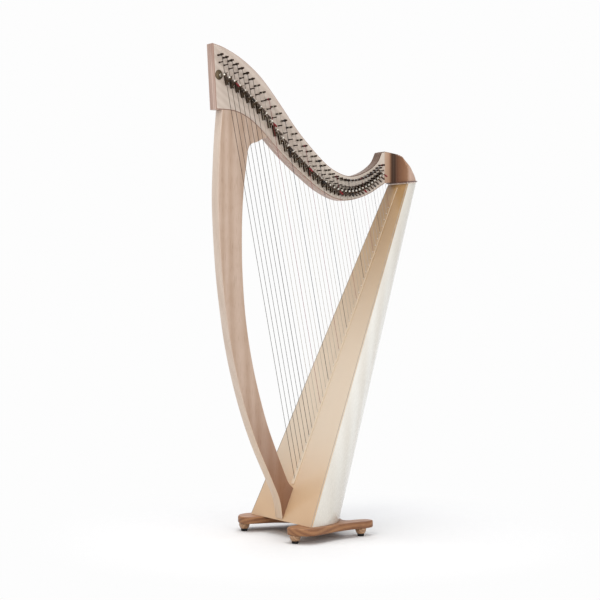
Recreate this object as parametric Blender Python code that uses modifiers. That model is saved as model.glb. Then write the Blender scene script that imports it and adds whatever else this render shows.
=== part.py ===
"""A lever harp with 38 strings, built from its separate pieces at their real size.

Metres, +Z up. x runs from the pillar towards the soundbox, y from the string side to the far
side. The harp is drawn with x = 0 over its front feet and y = 0 in the middle plane of the
soundboard. The last step centres it over its own footprint by moving one empty, harp_frame.
"""

import math

import bmesh
import bpy
from mathutils import Matrix, Vector

# Every piece stands this far off the piece that it touches
SEAT = 0.0003

# Feet: a turned wooden cup on a rubber pad, at the four corners of the base
FOOT_FRONT_X = 0.0
FOOT_REAR_X = 0.257
FOOT_SIDE_Y = 0.150
PAD_RADIUS = 0.0108
PAD_HEIGHT = 0.0090
CUP_TOP_RADIUS = 0.0178
CUP_FOOT_RADIUS = 0.0135
CUP_HEIGHT = 0.0170
TURNED_STEPS = 14

# Base: a flat board with four lobes, given as half of its outline from front to rear
BASE_THICKNESS = 0.023
BASE_EDGE_ROUND = 0.0030
BASE_HALF_OUTLINE = [
    (0.140, 0.000), (0.124, 0.050), (0.090, 0.082), (0.045, 0.099), (0.006, 0.110),
    (-0.016, 0.128), (-0.020, 0.149), (-0.009, 0.175), (0.015, 0.1965), (0.045, 0.203),
    (0.095, 0.190), (0.150, 0.176), (0.215, 0.170), (0.270, 0.172), (0.296, 0.163),
    (0.301, 0.145), (0.290, 0.127), (0.262, 0.118), (0.230, 0.115), (0.224, 0.094),
    (0.237, 0.064), (0.245, 0.032), (0.248, 0.000),
]

# Soundboard: a raked, tapering plate whose front face starts on the base
BOARD_FOOT_X = 0.043
BOARD_RAKE = math.radians(66.47)
BOARD_THICKNESS = 0.004

# Soundbox: a half-oval shell that tapers with the board, seen from above
BOX_FOOT_HALF = 0.1765
BOX_TOP_HALF = 0.0535
BOX_FOOT_DEPTH = 0.199
BOX_TOP_DEPTH = 0.068
BOX_TOP_SLOPE = 0.08
BOX_WALL = 0.006
BOX_ARC_STEPS = 20
BOTTOM_PANEL_THICKNESS = 0.012
BRACE_HEIGHT = 0.012
BRACE_DEPTH = 0.018
BRACE_PLACE = 0.36
BRACE_CLEARING = 0.02

# Sound holes in the back: place up the box, length and width of each oval
SOUND_HOLES = [
    (0.150, 0.150, 0.095), (0.285, 0.130, 0.082), (0.450, 0.110, 0.068), (0.600, 0.090, 0.054),
]
HOLE_SIDES = 18

# Cap and plate that close the box, and the shoulder block that stands on them
CAP_THICKNESS = 0.0033
PLATE_THICKNESS = 0.0040
PLATE_OVERHANG = 0.0045
BLOCK_HEIGHT = 0.1034
BLOCK_RUN = 0.0458
COVE_RADIUS = 0.030
COVE_STEPS = 6
COVE_LIP = 0.0015
BLOCK_ARC_STEPS = 12
BLOCK_FALL_BACK = 0.17
BLOCK_FALL_NEAR = 0.54

# Sections of the block up its height: the share of the height, of its near half width and of
# its depth, how far its far side comes in, and the share of the fall that it has there
BLOCK_SECTIONS = [
    (0.20, 0.990, 0.880, 0.000, 0.03), (0.40, 0.980, 0.700, 0.000, 0.12),
    (0.64, 0.950, 0.560, 0.000, 0.42), (0.85, 0.800, 0.400, 0.000, 0.72),
    (0.96, 0.600, 0.260, 0.003, 0.80), (1.00, 0.450, 0.170, 0.008, 0.70),
]
BLOCK_STRAIGHT_SHARE = 0.40

# Neck: a flat laminated plate, its upper edge from head to treble and its lower edge back
NECK_NEAR_Y = 0.014
NECK_THICKNESS = 0.040
NECK_UPPER_EDGE = [
    (-0.203, 1.580), (-0.156, 1.5675), (-0.089, 1.5356), (-0.020, 1.484), (0.050, 1.407),
    (0.1205, 1.3234), (0.1926, 1.2533), (0.2535, 1.2057), (0.315, 1.182), (0.362, 1.1845),
    (0.411, 1.2042), (0.448, 1.2325), (0.467, 1.267),
]
NECK_JOINT_HEIGHTS = (1.160, 1.270)
NECK_LOWER_EDGE = [
    (0.399, 1.1165), (0.305, 1.0975), (0.220, 1.125), (0.140, 1.177), (0.060, 1.2397),
    (-0.018, 1.3116), (-0.070, 1.350), (-0.123, 1.3694), (-0.1905, 1.3715),
]
EDGE_STEPS = 3

# Pillar: its front edge from the neck down, and its inner edge from the board up
PILLAR_THICKNESS = 0.040
PILLAR_FOOT_NEAR_Y = -0.012
PILLAR_TOP_FRONT_X = -0.168
PILLAR_TIP_X = 0.001
PILLAR_TIP_EDGE = 0.0025
PILLAR_FOOT_Z = 0.056
PILLAR_SEAT_Z = 0.153
PILLAR_FRONT_EDGE = [
    (-0.178, 1.264), (-0.186, 1.130), (-0.1865, 1.040), (-0.179, 0.890), (-0.165, 0.753),
    (-0.141, 0.600), (-0.102, 0.445), (-0.054, 0.310), (0.004, 0.185), (0.033, 0.118),
]
PILLAR_INNER_EDGE = [
    (0.069, 0.174), (0.052, 0.211), (0.020, 0.287), (-0.019, 0.392), (-0.061, 0.548),
    (-0.087, 0.702), (-0.098, 0.856), (-0.098, 1.000), (-0.090, 1.120), (-0.078, 1.206),
    (-0.071, 1.250), (-0.058, 1.268), (-0.036, 1.2755), (-0.016, 1.286),
]

# Strings: all lean alike, and their spacing closes up by the same step towards the treble
STRING_COUNT = 38
FIRST_NOTE = "a1"
STRING_TILT = math.radians(11.70)
FIRST_STRING_X = -0.1043
LAST_STRING_INSET = 0.01085
SPACING_STEP = 0.0001
STRING_OFF_NECK = 0.018
BASS_STRING_RADIUS = 0.00075
TREBLE_STRING_RADIUS = 0.00035
STRING_HOLE_CLEARANCE = 0.0008
STRING_SETS = [("bass_wires", 1, 7), ("gut_strings", 8, 26), ("nylon_strings", 27, STRING_COUNT)]

# String ribs: the strip that shows on the board, and the one glued behind it
RIB_HALF_WIDTH = 0.0070
RIB_THICKNESS = 0.0030
RIB_START = 0.105
RIB_END = 0.990
INNER_RIB_HALF_WIDTH = 0.0100
INNER_RIB_THICKNESS = 0.0060
INNER_RIB_END = 0.012

# Pins on the neck: the two rows that they stand in, from bass to treble
TUNING_ROW = [
    (-0.200, 1.549), (-0.145, 1.527), (-0.085, 1.490), (-0.020, 1.430), (0.061, 1.346),
    (0.140, 1.269), (0.215, 1.208), (0.262, 1.176), (0.318, 1.164), (0.374, 1.172),
    (0.430, 1.200), (0.475, 1.235),
]
BRIDGE_ROW = [
    (-0.200, 1.528), (-0.143, 1.505), (-0.085, 1.464), (-0.019, 1.408), (0.060, 1.316),
    (0.142, 1.240), (0.213, 1.1845), (0.264, 1.155), (0.327, 1.142), (0.385, 1.155),
    (0.430, 1.179), (0.475, 1.213),
]
TUNING_PIN_RADIUS = 0.0030
TUNING_PIN_PROUD = 0.032
TUNING_PIN_BACK = 0.007
TUNING_PIN_SIDE = -0.0025
WINDING_RADIUS = 0.0040
WINDING_LENGTH = 0.0070
DRIVE_RADIUS = 0.0029
DRIVE_LENGTH = 0.012
PIN_HOLE_CLEARANCE = 0.00035
BRIDGE_PIN_RADIUS = 0.0020
BRIDGE_PIN_PROUD = 0.023

# Sharping levers: one for each string, on the neck just under the bridge pin
LEVER_SHARE = 0.050
LEVER_DROP_MOST = 0.041
LEVER_DROP_LEAST = 0.0095
LEVER_STRING_OFFSET = 0.0052
LEVER_HUB_RADIUS = 0.0032
LEVER_HUB_OUTER = 0.0235
LEVER_FLANGE_RADIUS = 0.0046
LEVER_FLANGE_THICKNESS = 0.0020
LEVER_CAM_RADIUS = 0.0016
LEVER_CAM_REACH = 0.0041
LEVER_CAM_HALF_LENGTH = 0.0020
LEVER_HANDLE_LENGTH = 0.022
LEVER_HANDLE_LEAST = 0.0142
LEVER_HANDLE_STEP = 0.00056
LEVER_HANDLE_RISE = 0.012
LEVER_HANDLE_WIDTH = 0.0042
LEVER_TIP_WIDTH = 0.0062
LEVER_HANDLE_THICKNESS = 0.0026
LEVER_REST_ANGLE = math.radians(-60.0)
LEVER_THROW = math.radians(90.0)

# Sizes that follow from the ones above
FOOT_HEIGHT = PAD_HEIGHT + CUP_HEIGHT + 2.0 * SEAT
BASE_TOP_Z = FOOT_HEIGHT + BASE_THICKNESS
BOX_FOOT_Z = BASE_TOP_Z + SEAT
CAP_FOOT = SEAT
CAP_TOP = CAP_FOOT + CAP_THICKNESS
PLATE_FOOT = CAP_TOP + SEAT
PLATE_TOP = PLATE_FOOT + PLATE_THICKNESS
BLOCK_FOOT = PLATE_TOP + SEAT
BLOCK_FOOT_Z = NECK_JOINT_HEIGHTS[1] - BLOCK_HEIGHT
BOX_TOP_Z = BLOCK_FOOT_Z - BLOCK_FOOT
BOX_HEIGHT = BOX_TOP_Z - BOX_FOOT_Z
BOX_TOP_FRONT_X = BOARD_FOOT_X + BOX_HEIGHT / math.tan(BOARD_RAKE)
NECK_JOINT_X = BOX_TOP_FRONT_X - BLOCK_RUN
NECK_FAR_Y = NECK_NEAR_Y + NECK_THICKNESS
STRING_TOP_Y = NECK_NEAR_Y - STRING_OFF_NECK

# The strings cross the level of the block's foot from the first one's x to an inset before the
# neck's joint, which gives the spacing of the first two
STRING_LEVEL_Z = BLOCK_FOOT_Z
STRING_SPAN = NECK_JOINT_X - LAST_STRING_INSET - FIRST_STRING_X
FIRST_SPACING = STRING_SPAN / (STRING_COUNT - 1) + SPACING_STEP * (STRING_COUNT - 2) / 2.0


def clear_scene():
    """Remove what the scene holds before the harp is drawn."""
    for thing in list(bpy.data.objects):
        bpy.data.objects.remove(thing, do_unlink=True)


def new_collection(name):
    """Add a collection to the scene."""
    collection = bpy.data.collections.new(name)
    bpy.context.scene.collection.children.link(collection)
    return collection


clear_scene()
HARP = new_collection("lever_harp")
CUTTERS = new_collection("cutters")
FRAME = bpy.data.objects.new("harp_frame", None)
HARP.objects.link(FRAME)


def finish(name, colour, roughness, metallic=0.0):
    """Make a Principled material from a colour, a roughness and a metallic value."""
    material = bpy.data.materials.new(name)
    material.use_nodes = True
    shader = material.node_tree.nodes["Principled BSDF"]
    shader.inputs["Base Color"].default_value = (*colour, 1.0)
    shader.inputs["Roughness"].default_value = roughness
    shader.inputs["Metallic"].default_value = metallic
    material.diffuse_color = (*colour, 1.0)
    return material


MAPLE_FACE = finish("maple_face", (0.62, 0.52, 0.43), 0.42)
MAPLE_PALE = finish("maple_pale", (0.80, 0.77, 0.72), 0.35)
MAPLE_BROWN = finish("maple_brown", (0.42, 0.31, 0.23), 0.42)
SPRUCE = finish("spruce", (0.60, 0.42, 0.22), 0.45)
BASE_BROWN = finish("stained_maple", (0.30, 0.17, 0.10), 0.40)
EBONY = finish("ebony", (0.03, 0.025, 0.02), 0.35)
RUBBER = finish("rubber", (0.02, 0.02, 0.02), 0.80)
STEEL = finish("nickel_steel", (0.60, 0.58, 0.55), 0.25, 1.0)
BRONZE = finish("dark_bronze", (0.12, 0.08, 0.05), 0.35, 1.0)
GUT = finish("gut", (0.75, 0.70, 0.60), 0.50)


def blend(a, b, share):
    """Return the value that lies a share of the way from a to b."""
    return a + (b - a) * share


def smooth_path(points, steps):
    """Sample a Catmull-Rom curve through the points, with so many steps to a span."""
    knots = [Vector(point) for point in points]
    before = knots[0] * 2.0 - knots[1]
    after = knots[-1] * 2.0 - knots[-2]
    knots = [before, *knots, after]
    path = []
    for p0, p1, p2, p3 in zip(knots, knots[1:], knots[2:], knots[3:]):
        for step in range(steps):
            t = step / steps
            bend = (2.0 * p0 - 5.0 * p1 + 4.0 * p2 - p3) * t * t
            turn = (3.0 * p1 - p0 - 3.0 * p2 + p3) * t ** 3
            path.append(0.5 * (2.0 * p1 + (p2 - p0) * t + bend + turn))
    path.append(knots[-2])
    return path


def height_on(path, x):
    """Return the height of a path of (x, z) points at x."""
    for a, b in zip(path, path[1:]):
        if min(a.x, b.x) <= x <= max(a.x, b.x) and a.x != b.x:
            return blend(a.y, b.y, (x - a.x) / (b.x - a.x))
    raise ValueError("the path does not reach x = %.4f" % x)


def add_object(name, mesh, material=None, collection=HARP):
    """Put a mesh in a collection, under the harp's frame."""
    piece = bpy.data.objects.new(name, mesh)
    collection.objects.link(piece)
    piece.parent = FRAME
    if material is not None and not mesh.materials:
        mesh.materials.append(material)
    return piece


def as_cutter(piece):
    """Mark an object as a cutter, which the finished harp leaves out."""
    piece.hide_render = True
    piece.display_type = "WIRE"
    return piece


def mesh_from(name, bm):
    """Turn a bmesh into a mesh whose faces point outwards."""
    bmesh.ops.recalc_face_normals(bm, faces=bm.faces)
    if bm.calc_volume(signed=True) < 0.0:
        bmesh.ops.reverse_faces(bm, faces=bm.faces)
    mesh = bpy.data.meshes.new(name)
    bm.to_mesh(mesh)
    bm.free()
    return mesh


def loft(name, rings):
    """Skin closed rings that have the same count of points, and cap both ends."""
    bm = bmesh.new()
    rows = [[bm.verts.new(point) for point in ring] for ring in rings]
    for low, high in zip(rows, rows[1:]):
        for k, corner in enumerate(low):
            beside = (k + 1) % len(low)
            bm.faces.new((corner, low[beside], high[beside], high[k]))
    bm.faces.new(list(reversed(rows[0])))
    bm.faces.new(rows[-1])
    return mesh_from(name, bm)


def flat_plate(name, outline, thickness):
    """Fill a flat outline in x and y and give it its thickness, centred on z = 0."""
    curve = bpy.data.curves.new(name, "CURVE")
    curve.dimensions = "2D"
    curve.fill_mode = "BOTH"
    curve.extrude = thickness / 2.0
    spline = curve.splines.new("POLY")
    spline.points.add(len(outline) - 1)
    for place, point in zip(spline.points, outline):
        place.co = (point[0], point[1], 0.0, 1.0)
    spline.use_cyclic_u = True
    drawn = bpy.data.objects.new(name + "_outline", curve)
    CUTTERS.objects.link(drawn)
    mesh = evaluated_mesh(drawn)
    bpy.data.objects.remove(drawn, do_unlink=True)
    bpy.data.curves.remove(curve)
    bm = bmesh.new()
    bm.from_mesh(mesh)
    bpy.data.meshes.remove(mesh)
    bmesh.ops.remove_doubles(bm, verts=bm.verts, dist=0.00001)
    return mesh_from(name, bm)


def upright_plate(name, outline, thickness, near_y):
    """Stand a flat plate up, so that its outline is x and z and it runs back from near_y."""
    mesh = flat_plate(name, outline, thickness)
    middle = Matrix.Translation((0.0, near_y + thickness / 2.0, 0.0))
    mesh.transform(middle @ Matrix.Rotation(math.pi / 2.0, 4, "X"))
    return mesh


def rod(name, start, end, radius, sides, end_radius=None):
    """Make a closed prism or cone between two points."""
    start = Vector(start)
    run = Vector(end) - start
    bm = bmesh.new()
    bmesh.ops.create_cone(
        bm, cap_ends=True, segments=sides, radius1=radius,
        radius2=radius if end_radius is None else end_radius, depth=run.length,
    )
    turn = Vector((0.0, 0.0, 1.0)).rotation_difference(run.normalized()).to_matrix().to_4x4()
    bm.transform(Matrix.Translation(start + run / 2.0) @ turn)
    return mesh_from(name, bm)


def turned(name, profile, material):
    """Turn a profile of (radius, height) points about its own vertical axis."""
    mesh = bpy.data.meshes.new(name)
    edges = [(k, k + 1) for k in range(len(profile) - 1)]
    mesh.from_pydata([(radius, 0.0, height) for radius, height in profile], edges, [])
    piece = add_object(name, mesh, material)
    screw = piece.modifiers.new("turning", "SCREW")
    screw.steps = TURNED_STEPS
    screw.render_steps = TURNED_STEPS
    screw.use_merge_vertices = True
    screw.merge_threshold = 0.00001
    return piece


def boolean(piece, operation, operand=None, operands=None):
    """Add an exact Boolean of one object or of a whole collection."""
    cut = piece.modifiers.new(operation.lower(), "BOOLEAN")
    cut.operation = operation
    cut.solver = "EXACT"
    if operands is not None:
        cut.operand_type = "COLLECTION"
        cut.collection = operands
    else:
        cut.object = operand
    return cut


def evaluated_mesh(piece):
    """Return a mesh of what an object's curve or modifiers make."""
    bpy.context.view_layer.update()
    graph = bpy.context.evaluated_depsgraph_get()
    return bpy.data.meshes.new_from_object(piece.evaluated_get(graph))


def apply_all(piece):
    """Replace a piece's mesh with the result of its modifiers."""
    mesh = evaluated_mesh(piece)
    mesh.name = piece.name
    piece.modifiers.clear()
    piece.data = mesh


def combined(name, meshes, operation, material):
    """Join the first mesh with the rest, or cut the rest from it, into one body."""
    piece = add_object(name, meshes[0], material)
    others = bpy.data.collections.new(name + "_others")
    CUTTERS.children.link(others)
    for k, mesh in enumerate(meshes[1:]):
        as_cutter(add_object("%s_other_%d" % (name, k), mesh, collection=others))
    boolean(piece, operation, operands=others)
    apply_all(piece)
    for thing in list(others.objects):
        spent = thing.data
        bpy.data.objects.remove(thing, do_unlink=True)
        bpy.data.meshes.remove(spent)
    bpy.data.collections.remove(others)
    piece.data.materials.clear()
    piece.data.materials.append(material)
    return piece


def board_front_x(z):
    """Return x on the soundboard's front face at a height."""
    return BOARD_FOOT_X + (z - BOX_FOOT_Z) / math.tan(BOARD_RAKE)


def behind_front(distance):
    """Turn a distance square to the soundboard into a level one along x."""
    return distance / math.sin(BOARD_RAKE)


def box_section(share, grow=0.0, front=0.0, lift=0.0, corner=None):
    """Return the soundbox's half-oval at a share of its height, from near to far corner.

    grow widens and deepens it, front cuts it off that far behind the board's front face, and
    lift raises the whole section. corner adds a square corner at each end, at its own distance
    behind the board's front face.
    """
    half = blend(BOX_FOOT_HALF, BOX_TOP_HALF, share) + grow
    depth = blend(BOX_FOOT_DEPTH, BOX_TOP_DEPTH, share) + grow
    z = blend(BOX_FOOT_Z, BOX_TOP_Z, share)
    lead = math.asin(front / depth)
    angles = [math.pi * step / BOX_ARC_STEPS for step in range(1, BOX_ARC_STEPS)]
    angles = [lead, *angles, math.pi - lead]
    level = [(depth * math.sin(angle), -half * math.cos(angle)) for angle in angles]
    if corner is not None:
        level = [(corner, level[0][1]), *level, (corner, level[-1][1])]
    slope = share * BOX_TOP_SLOPE
    return [Vector((board_front_x(z) + x, y, z + slope * x + lift)) for x, y in level]


def box_share(z):
    """Return the share of the soundbox's height that a height z is at."""
    return (z - BOX_FOOT_Z) / BOX_HEIGHT


def strip(name, half_width, start_z, end_z, front, thickness):
    """Make a strip along the soundboard's middle, its face that far behind the board's front."""
    near = behind_front(front)
    far = behind_front(front + thickness)
    rings = []
    for z in (start_z, end_z):
        x = board_front_x(z)
        rings.append([
            (x + near, -half_width, z), (x + far, -half_width, z),
            (x + far, half_width, z), (x + near, half_width, z),
        ])
    return loft(name, rings)


def string_spacing_sum(number):
    """Return how far a string stands from the first one, along x at the same level."""
    gaps = number - 1
    return gaps * FIRST_SPACING - SPACING_STEP * gaps * (gaps - 1) / 2.0


def string_x(number, z):
    """Return x on a string's line at a height."""
    level_x = FIRST_STRING_X + string_spacing_sum(number)
    return level_x - (z - STRING_LEVEL_Z) * math.tan(STRING_TILT)


def string_radius(number):
    """Return a string's radius."""
    return blend(BASS_STRING_RADIUS, TREBLE_STRING_RADIUS, (number - 1) / (STRING_COUNT - 1))


def string_foot_z(number, front):
    """Return the height where a string's line meets a plane in front of or behind the board."""
    start_x = BOARD_FOOT_X + behind_front(front)
    rise_per_run = 1.0 / math.tan(BOARD_RAKE) + math.tan(STRING_TILT)
    return BOX_FOOT_Z + (string_x(number, BOX_FOOT_Z) - start_x) / rise_per_run


def note_name(number):
    """Return the note that a string sounds, such as c4."""
    letters = "cdefgab"
    first = letters.index(FIRST_NOTE[0]) + 7 * int(FIRST_NOTE[1])
    octave, place = divmod(first + number - 1, 7)
    return "%s%d" % (letters[place], octave)


UPPER_PATH = smooth_path(NECK_UPPER_EDGE, EDGE_STEPS)
LOWER_PATH = smooth_path(
    [(NECK_JOINT_X, NECK_JOINT_HEIGHTS[0]), *NECK_LOWER_EDGE], EDGE_STEPS
)
TUNING_PATH = smooth_path(TUNING_ROW, EDGE_STEPS)
BRIDGE_PATH = smooth_path(BRIDGE_ROW, EDGE_STEPS)


def row_height(path, number):
    """Return the height where a string's line crosses a row of pins."""
    for a, b in zip(path, path[1:]):
        before = a.x - string_x(number, a.y)
        after = b.x - string_x(number, b.y)
        if before <= 0.0 < after:
            return blend(a.y, b.y, before / (before - after))
    raise ValueError("string %d does not cross the row" % number)


class StringLine:
    """The places of one string's pins, lever and ends."""

    def __init__(self, number):
        self.number = number
        self.note = note_name(number)
        self.radius = string_radius(number)
        self.tuning_z = row_height(TUNING_PATH, number)
        self.bridge_z = row_height(BRIDGE_PATH, number)
        self.foot_z = string_foot_z(number, -RIB_THICKNESS - SEAT)
        length = (self.bridge_z - self.foot_z) / math.cos(STRING_TILT)
        drop = min(max(length * LEVER_SHARE, LEVER_DROP_LEAST), LEVER_DROP_MOST)
        self.lever_z = self.bridge_z - drop * math.cos(STRING_TILT)
        self.inner_z = string_foot_z(number, BOARD_THICKNESS + SEAT + INNER_RIB_THICKNESS / 2.0)

    def at(self, z):
        """Return the point on the string's straight length at a height."""
        share = (z - self.foot_z) / (self.bridge_z - self.foot_z)
        return Vector((string_x(self.number, z), STRING_TOP_Y * share, z))

    def tuning_axis(self):
        """Return x and z of the tuning pin's axis, on the bass side of the string."""
        return string_x(self.number, self.tuning_z) + TUNING_PIN_SIDE, self.tuning_z

    def bridge_axis(self):
        """Return x and z of the bridge pin's axis, on the bass side of the string."""
        return string_x(self.number, self.bridge_z) - BRIDGE_PIN_RADIUS, self.bridge_z

    def lever_axis(self):
        """Return x and z of the lever's pivot, on the bass side of the string."""
        x = string_x(self.number, self.lever_z) - LEVER_STRING_OFFSET / math.cos(STRING_TILT)
        return x, self.lever_z


def string_meshes(line):
    """Return one string's lengths with its tuning pin, its winding and its bridge pin."""
    name = "string_" + line.note
    pin_x, pin_z = line.tuning_axis()
    bridge_x, bridge_z = line.bridge_axis()
    near_y = NECK_NEAR_Y - TUNING_PIN_PROUD
    back_y = NECK_FAR_Y + TUNING_PIN_BACK
    top = Vector((pin_x + WINDING_RADIUS - line.radius, STRING_TOP_Y, pin_z))
    bend = line.at(bridge_z)
    under_bend = bend - (bend - line.at(line.foot_z)).normalized() * line.radius
    wound = WINDING_LENGTH / 2.0

    def pin(x, z, start_y, end_y, radius, sides):
        return rod(name, (x, start_y, z), (x, end_y, z), radius, sides)

    bridge_end_y = NECK_NEAR_Y - BRIDGE_PIN_PROUD
    return [
        rod(name, line.at(line.inner_z), bend, line.radius, 5),
        rod(name, under_bend, top, line.radius, 5),
        pin(pin_x, pin_z, near_y, back_y, TUNING_PIN_RADIUS, 8),
        pin(pin_x, pin_z, STRING_TOP_Y - wound, STRING_TOP_Y + wound, WINDING_RADIUS, 8),
        pin(pin_x, pin_z, back_y - SEAT, back_y + DRIVE_LENGTH, DRIVE_RADIUS, 4),
        pin(bridge_x, bridge_z, NECK_NEAR_Y - SEAT, bridge_end_y, BRIDGE_PIN_RADIUS, 6),
    ]


def build_string_set(name, lines, material, low_z, high_z):
    """Build a set of strings, each with its pins, hung from its stretch of the inner rib."""
    behind = BOARD_THICKNESS + SEAT
    meshes = [strip(name, INNER_RIB_HALF_WIDTH, low_z, high_z, behind, INNER_RIB_THICKNESS)]
    for line in lines:
        meshes.extend(string_meshes(line))
    return combined(name, meshes, "UNION", material)


def string_cutters(lines, front, thickness):
    """Return the square holes that the strings pass, through a plate along the board."""
    cutters = []
    for line in lines:
        above = line.at(string_foot_z(line.number, front - thickness))
        below = line.at(string_foot_z(line.number, front + 2.0 * thickness))
        radius = (line.radius + STRING_HOLE_CLEARANCE) * math.sqrt(2.0)
        cutters.append(rod("string_hole", above, below, radius, 4))
    return cutters


def build_feet():
    """Build the four rubber pads and the turned cups on them."""
    corners = {
        "front_near": (FOOT_FRONT_X, -FOOT_SIDE_Y), "front_far": (FOOT_FRONT_X, FOOT_SIDE_Y),
        "rear_near": (FOOT_REAR_X, -FOOT_SIDE_Y), "rear_far": (FOOT_REAR_X, FOOT_SIDE_Y),
    }
    lip = PAD_HEIGHT * 0.2
    shoulder = CUP_HEIGHT * 0.35
    cup_low = PAD_HEIGHT + SEAT
    for corner, (x, y) in corners.items():
        pad = turned("foot_pad_" + corner, [
            (0.0, PAD_HEIGHT), (PAD_RADIUS, PAD_HEIGHT), (PAD_RADIUS, lip),
            (PAD_RADIUS - lip, 0.0), (0.0, 0.0),
        ], RUBBER)
        pad.location = (x, y, 0.0)
        cup = turned("foot_cup_" + corner, [
            (0.0, cup_low + CUP_HEIGHT), (CUP_TOP_RADIUS, cup_low + CUP_HEIGHT),
            (CUP_TOP_RADIUS, cup_low + CUP_HEIGHT - shoulder),
            (blend(CUP_TOP_RADIUS, CUP_FOOT_RADIUS, 0.6), cup_low + shoulder),
            (CUP_FOOT_RADIUS, cup_low), (0.0, cup_low),
        ], MAPLE_PALE)
        cup.location = (x, y, 0.0)


def build_base():
    """Build the lobed base board with its edges rounded."""
    half = smooth_path(BASE_HALF_OUTLINE, 2)
    other = [Vector((point.x, -point.y)) for point in reversed(half[1:-1])]
    mesh = flat_plate("base_board", half + other, BASE_THICKNESS)
    mesh.transform(Matrix.Translation((0.0, 0.0, FOOT_HEIGHT + BASE_THICKNESS / 2.0)))
    base = add_object("base_board", mesh, BASE_BROWN)
    rounding = base.modifiers.new("rounding", "BEVEL")
    rounding.width = BASE_EDGE_ROUND
    rounding.segments = 2
    rounding.limit_method = "ANGLE"
    rounding.angle_limit = math.radians(60.0)
    return base


def build_soundbox(lines):
    """Build the board, its rib, the shell with its sound holes, and the pieces that close it."""
    board_rings = []
    back = behind_front(BOARD_THICKNESS)
    for z, half in ((BOX_FOOT_Z, BOX_FOOT_HALF), (BOX_TOP_Z, BOX_TOP_HALF)):
        x = board_front_x(z)
        board_rings.append([
            (x, -half, z), (x + back, -half, z), (x + back, half, z), (x, half, z),
        ])
    board = loft("soundboard", board_rings)
    board_holes = string_cutters(lines, 0.0, BOARD_THICKNESS)
    combined("soundboard", [board, *board_holes], "DIFFERENCE", SPRUCE)
    rib_start = blend(BOX_FOOT_Z, BOX_TOP_Z, RIB_START)
    rib_end = blend(BOX_FOOT_Z, BOX_TOP_Z, RIB_END)
    rib_face = -RIB_THICKNESS - SEAT
    rib = strip("string_rib", RIB_HALF_WIDTH, rib_start, rib_end, rib_face, RIB_THICKNESS)
    rib_holes = string_cutters(lines, rib_face, RIB_THICKNESS)
    combined("string_rib", [rib, *rib_holes], "DIFFERENCE", MAPLE_FACE)

    front = behind_front(BOARD_THICKNESS + SEAT)
    outer = loft("soundbox_shell", [box_section(0.0, front=front), box_section(1.0, front=front)])
    hollow = loft("hollow", [
        box_section(-0.05, grow=-BOX_WALL, front=front, corner=0.0),
        box_section(1.05, grow=-BOX_WALL, front=front, corner=0.0),
    ])
    combined("soundbox_shell", [outer, hollow, *sound_hole_cutters()], "DIFFERENCE", MAPLE_PALE)

    inset = -BOX_WALL - SEAT
    panel_top = box_share(BOX_FOOT_Z + BOTTOM_PANEL_THICKNESS)
    add_object("bottom_panel", loft("bottom_panel", [
        box_section(0.0, grow=inset, front=front),
        box_section(panel_top, grow=inset, front=front),
    ]), MAPLE_BROWN)

    brace_top = BRACE_PLACE + BRACE_HEIGHT / BOX_HEIGHT
    brace = loft("soundbox_brace", [
        box_section(BRACE_PLACE, grow=inset, front=front),
        box_section(brace_top, grow=inset, front=front),
    ])
    within = inset - BRACE_DEPTH
    clearing = loft("brace_clearing", [
        box_section(BRACE_PLACE - BRACE_CLEARING, grow=within, front=front, corner=0.0),
        box_section(brace_top + BRACE_CLEARING, grow=within, front=front, corner=0.0),
    ])
    combined("soundbox_brace", [brace, clearing], "DIFFERENCE", MAPLE_BROWN)

    add_object("soundbox_cap", loft("soundbox_cap", [
        box_section(1.0, lift=CAP_FOOT), box_section(1.0, lift=CAP_TOP),
    ]), MAPLE_PALE)
    over = {"grow": PLATE_OVERHANG, "corner": -PLATE_OVERHANG}
    add_object("shoulder_plate", loft("shoulder_plate", [
        box_section(1.0, lift=PLATE_FOOT, **over), box_section(1.0, lift=PLATE_TOP, **over),
    ]), EBONY)


def sound_hole_cutters():
    """Return the oval cutters of the sound holes, square to the soundbox's back."""
    foot = Vector((BOARD_FOOT_X + BOX_FOOT_DEPTH, 0.0, BOX_FOOT_Z))
    top = Vector((BOX_TOP_FRONT_X + BOX_TOP_DEPTH, 0.0, BOX_TOP_Z))
    along = (top - foot).normalized()
    out = Vector((along.z, 0.0, -along.x))
    turn = Matrix((
        (along.x, 0.0, out.x), (along.y, 1.0, out.y), (along.z, 0.0, out.z),
    )).to_4x4()
    cutters = []
    for place, length, width in SOUND_HOLES:
        bm = bmesh.new()
        bmesh.ops.create_cone(
            bm, cap_ends=True, segments=HOLE_SIDES, radius1=0.5, radius2=0.5, depth=BOX_TOP_DEPTH,
        )
        size = Matrix.Diagonal((length, width, 1.0, 1.0))
        bm.transform(Matrix.Translation(blend(foot, top, place)) @ turn @ size)
        cutters.append(mesh_from("sound_hole", bm))
    return cutters


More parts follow.
